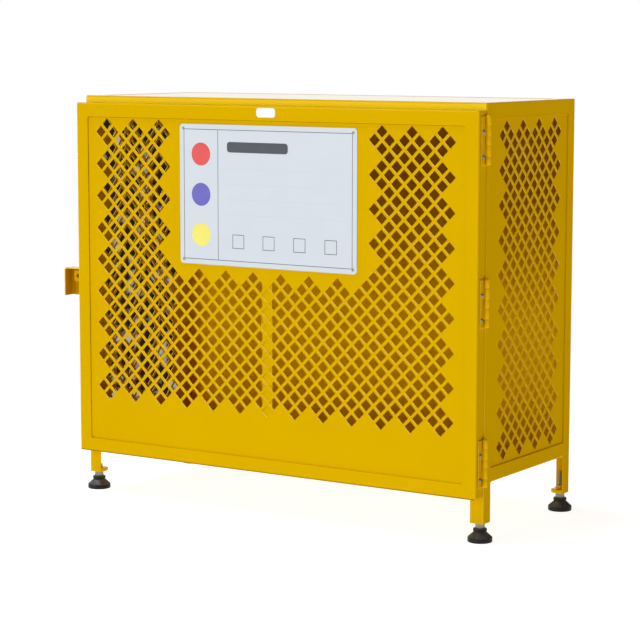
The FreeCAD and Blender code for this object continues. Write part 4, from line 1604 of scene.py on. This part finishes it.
@dataclass
class Foot(Assembly):
    """One levelling foot: lug on the post, threaded stud and rubber pad.

    Steps of the pad's profile are in units of the roundings beside them.
    """

    corner: Corner = Corner.FRONT_LEFT
    edge_mm: float = 2.2
    root_mm: float = 5.0
    crest_mm: float = 0.8
    pitch_mm: float = 1.75
    hexagon_mm: float = 21.2
    hexagon_height_mm: float = 13.5
    hexagon_gap_mm: float = 0.2
    chamfer_mm: float = 1.4
    chamfer_start: float = 0.97
    chamfer_middle: Point = (0.5, 0.55)
    stud_sides: int = 48
    swivel_mm: float = 9.0
    swivel_height_mm: float = 6.8
    swivel_taper: float = 0.95
    swivel_chamfer_mm: float = 0.5
    neck_mm: float = 5.8
    pad_sides: int = 64
    pad_floor_mm: float = 9.0
    rim_mm: float = 13.0
    rim_round_mm: float = 1.6
    cone_deg: float = 51.0
    collar_mm: float = 18.0
    collar_height_mm: float = 10.0
    collar_round_mm: float = 1.6
    round_steps: int = 4
    waist_step: float = 0.3
    throat_step: float = 1.2
    lip_step: float = 2.2
    lip_deg: float = -60.0
    lip_steps: int = 3
    mouth_mm: float = 7.8
    mouth_chamfer_mm: float = 0.6
    socket_mm: float = 9.3
    socket_height_mm: float = 7.5
    bead_mm: float = 2.6
    ripple_mm: float = 2.6

    def axis(self) -> Vector:
        """Point on the ground under the foot."""
        low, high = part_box(f"foot_pad_{self.corner.value}")
        return Vector(((low.x + high.x) / 2.0, (low.y + high.y) / 2.0, low.z))

    def stud(self) -> None:
        """Levelling stud with its swivel end, spanner hexagon and thread."""
        node = f"foot_stud_{self.corner.value}"
        low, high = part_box(node)
        pad_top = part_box(f"foot_pad_{self.corner.value}")[1].z
        lug_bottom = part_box(f"foot_lug_{self.corner.value}")[0].z
        swivel, neck = self.swivel_mm * MM, self.neck_mm * MM
        chamfer, half = self.chamfer_mm * MM, self.hexagon_mm * MM / 2.0
        tip = half / math.cos(math.pi / 6.0)
        top = lug_bottom - self.hexagon_gap_mm * MM
        bottom = top - self.hexagon_height_mm * MM
        swivel_top = low.z + self.swivel_height_mm * MM
        profile = [(0.0, low.z), (swivel * self.swivel_taper, low.z),
                   (swivel, low.z + self.swivel_chamfer_mm * MM), (swivel, swivel_top),
                   (neck, swivel_top), (neck, max(bottom, pad_top))]
        flats_from = len(profile)
        across, up = self.chamfer_middle
        steps = [(half * self.chamfer_start, 0.0), (half + (tip - half) * across, up), (tip, 1.0)]
        profile += [(radius, bottom + share * chamfer) for radius, share in steps]
        profile += [(radius, top - share * chamfer) for radius, share in reversed(steps)]
        profile.append((0.0, top))
        base = mesh_from(node, lathe(profile, self.stud_sides, self.hexagon_mm * MM, flats_from))
        piece = ThreadedRod().make(
            f"levelling_stud_{self.corner.value}", base, ZINC, Root_Radius=self.root_mm * MM,
            Crest_Height=self.crest_mm * MM, Pitch=self.pitch_mm * MM, Length=high.z - top, Start=top)
        piece.data.transform(Matrix.Translation((self.axis().x, self.axis().y, 0.0)))
        self.body = f"stud_{self.corner.value}"
        self.mount(piece, Slot.ZINC, node)

    def pad(self) -> None:
        """Moulded pad: rounded rim, cone and flared collar, with the socket of the stud inside."""
        node = f"foot_pad_{self.corner.value}"
        low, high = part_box(node)
        radius = (high.x - low.x) / 2.0
        top = high.z - low.z
        turn, rim, collar = self.rim_round_mm * MM, self.rim_mm * MM, self.collar_mm * MM
        waist = top - self.collar_height_mm * MM
        crown = self.collar_round_mm * MM
        mouth, chamfer = self.mouth_mm * MM, self.mouth_chamfer_mm * MM
        floor, socket = self.pad_floor_mm * MM, self.socket_mm * MM
        socket_top = floor + self.socket_height_mm * MM
        profile = [(0.0, 0.0), *arc((radius - turn, turn), turn, -90.0, 0.0, self.round_steps)]
        profile += arc((radius - turn, rim - turn), turn, 0.0, self.cone_deg, self.round_steps)
        profile += [(collar + turn, waist - turn), (collar, waist - self.waist_step * turn)]
        profile += [(collar - crown, waist + step * crown) for step in (self.waist_step, self.throat_step)]
        lip = (collar - crown, waist + self.lip_step * crown)
        profile += arc(lip, crown, self.lip_deg, 0.0, self.lip_steps)
        profile += arc((collar - crown, top - crown), crown, 0.0, 90.0, self.round_steps)
        profile += [(mouth + chamfer, top), (mouth, top - chamfer)]
        profile += [(mouth, socket_top), (socket, socket_top), (socket, floor), (0.0, floor)]
        piece = self.painted(f"levelling_pad_{self.corner.value}", lathe(profile, self.pad_sides), RUBBER)
        piece.data.transform(Matrix.Translation(self.axis()))
        self.body = f"pad_{self.corner.value}"
        self.mount(piece, Slot.RUBBER, node)

    def lug(self) -> None:
        """Lug in the foot of the post, with a bead along each of the post's walls."""
        node = f"foot_lug_{self.corner.value}"
        self.dress(node)
        low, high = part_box(node)
        wall_x, free_x = (low.x, high.x) if low.x < 0.0 else (high.x, low.x)
        wall_y, free_y = (low.y, high.y) if low.y < 0.0 else (high.y, low.y)
        root = Vector((wall_x, wall_y, high.z))
        ends = (Vector((wall_x, free_y, high.z)), Vector((free_x, wall_y, high.z)))
        paths = [[root, end] for end in ends]
        self.beads(f"lug_welds_{self.corner.value}", paths, self.bead_mm, self.ripple_mm)

    def build(self) -> None:
        """Builds the foot."""
        self.lug()
        self.stud()
        self.pad()


@dataclass(frozen=True)
class Lamp:
    """Broad even light from far away.

    Attributes:
        name: Name of the light.
        source: Direction that it comes from.
        strength: Light on a surface that faces it, in watts per square metre.
        spread_deg: Angle that it fills, which sets how soft its shadows are.
        tint: Colour of the light.
    """

    name: str
    source: Triple
    strength: float
    spread_deg: float
    tint: str = WHITE

    def build(self) -> None:
        """Puts the light in the scene."""
        data = bpy.data.lights.new(self.name, "SUN")
        data.energy = self.strength
        data.color = linear(self.tint)[:3]
        data.angle = math.radians(self.spread_deg)
        light = bpy.data.objects.new(self.name, data)
        light.rotation_euler = Vector(self.source).to_track_quat("Z", "Y").to_euler()
        bpy.context.scene.collection.objects.link(light)


@dataclass
class Studio:
    """Pale floor, soft lights and the camera.

    Attributes:
        floor_reach: Half the floor's width and depth.
        floor_end: Distance from the camera at which the floor ends, just behind the cage.
        camera_place: Place of the camera.
        camera_turn_deg: Euler angles of the camera.
        lens_mm: Focal length.
        sensor_mm: Width of the sensor.
        back_from: Direction of the bright side of the surroundings.
        back_cone: Parts of a direction along it between which the brightness grows.
        back_glow: Brightness of that side.
        front_glow: Brightness of the rest.
        horizon: Upward parts of a direction between which the horizon's glow gives way to the sides'.
        horizon_glow: Brightness at and below the horizon.
        lamps: The lights: key and fill from the front, one from the top, and a warm one from the right.
    """

    floor_reach: float = 30.0
    floor_end: float = 7.0
    camera_place: Triple = (3.2622, -5.0199, 1.2728)
    camera_turn_deg: Triple = (82.678, -0.077, 32.879)
    lens_mm: float = 122.33
    sensor_mm: float = 36.0
    back_from: Triple = (-0.545, 0.839, 0.0)
    back_cone: Range = (0.75, 0.95)
    back_glow: float = 1.0
    front_glow: float = 0.02
    horizon: Range = (0.05, 0.12)
    horizon_glow: float = 1.0
    lamps: tuple[Lamp, ...] = (
        Lamp("key light", (-0.45, -0.87, 0.06), 0.84, 18.0),
        Lamp("fill light", (-0.2, -0.87, 0.45), 0.5, 20.0),
        Lamp("top light", (-0.3, -0.15, 0.94), 2.2, 22.0),
        Lamp("side light", (0.95, -0.2, 0.2), 0.25, 40.0, "#FF6A10"),
    )

    def floor(self) -> None:
        """Pale floor under the feet, which ends behind the cage and runs on as the white surroundings."""
        form = bmesh.new()
        turn = Matrix.Rotation(math.radians(self.camera_turn_deg[2]), 4, "Z")
        foot = Vector((*self.camera_place[:2], 0.0))
        reach, far = self.floor_reach, self.floor_end
        corners = ((-reach, far - 2.0 * reach), (reach, far - 2.0 * reach), (reach, far), (-reach, far))
        form.faces.new([form.verts.new(foot + turn @ Vector((x, y, 0.0))) for x, y in corners])
        piece = new_object("studio_floor", mesh_from("studio_floor", form))
        coat(piece, FLOOR_COAT)

    def world(self) -> None:
        """Surroundings that are bright behind the cage and dim in front, with an even white horizon."""
        world = bpy.data.worlds.new("studio surroundings")
        world.use_nodes = True
        tree = world.node_tree
        tree.nodes.clear()
        towards = add_node(tree, "ShaderNodeTexCoord").outputs["Generated"]
        behind = add_node(tree, "ShaderNodeVectorMath", {
            0: towards, 1: self.back_from}, operation="DOT_PRODUCT")
        sides = add_node(tree, "ShaderNodeMapRange", {
            "Value": behind.outputs["Value"], "From Min": self.back_cone[0], "From Max": self.back_cone[1],
            "To Min": self.front_glow, "To Max": self.back_glow})
        upward = add_node(tree, "ShaderNodeSeparateXYZ", {"Vector": towards}).outputs["Z"]
        glow = add_node(tree, "ShaderNodeMapRange", {
            "Value": upward, "From Min": self.horizon[0], "From Max": self.horizon[1],
            "To Min": self.horizon_glow, "To Max": sides.outputs["Result"]})
        room = DimRoom(self.camera_turn_deg[2])
        sky = add_node(tree, "ShaderNodeBackground", {
            "Color": room.over(tree, towards), "Strength": glow.outputs["Result"]})
        add_node(tree, "ShaderNodeOutputWorld", {"Surface": sky.outputs["Background"]})
        bpy.context.scene.world = world

    def camera(self) -> None:
        """Camera at the photograph's place and angle."""
        data = bpy.data.cameras.new("photo camera")
        data.lens = self.lens_mm
        data.sensor_width = self.sensor_mm
        camera = bpy.data.objects.new("photo camera", data)
        camera.location = self.camera_place
        camera.rotation_euler = [math.radians(angle) for angle in self.camera_turn_deg]
        bpy.context.scene.collection.objects.link(camera)
        bpy.context.scene.camera = camera

    def build(self) -> None:
        """Sets up the studio."""
        self.floor()
        self.world()
        for lamp in self.lamps:
            lamp.build()
        self.camera()
        bpy.context.scene.view_settings.view_transform = "Standard"


def main() -> None:
    """Builds the cage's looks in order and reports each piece."""
    logging.basicConfig(level=logging.INFO, format="%(name)s: %(message)s")
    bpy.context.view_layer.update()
    feet = [Foot(corner=corner) for corner in Corner]
    assemblies = [Cabinet(), Door(), Sign(), Hinges(), Lock(), *feet]
    for assembly in assemblies:
        assembly.build()
        log.info("%s: %s", type(assembly).__name__, ", ".join(assembly.made))
    Studio().build()


if __name__ == "__main__":
    main()
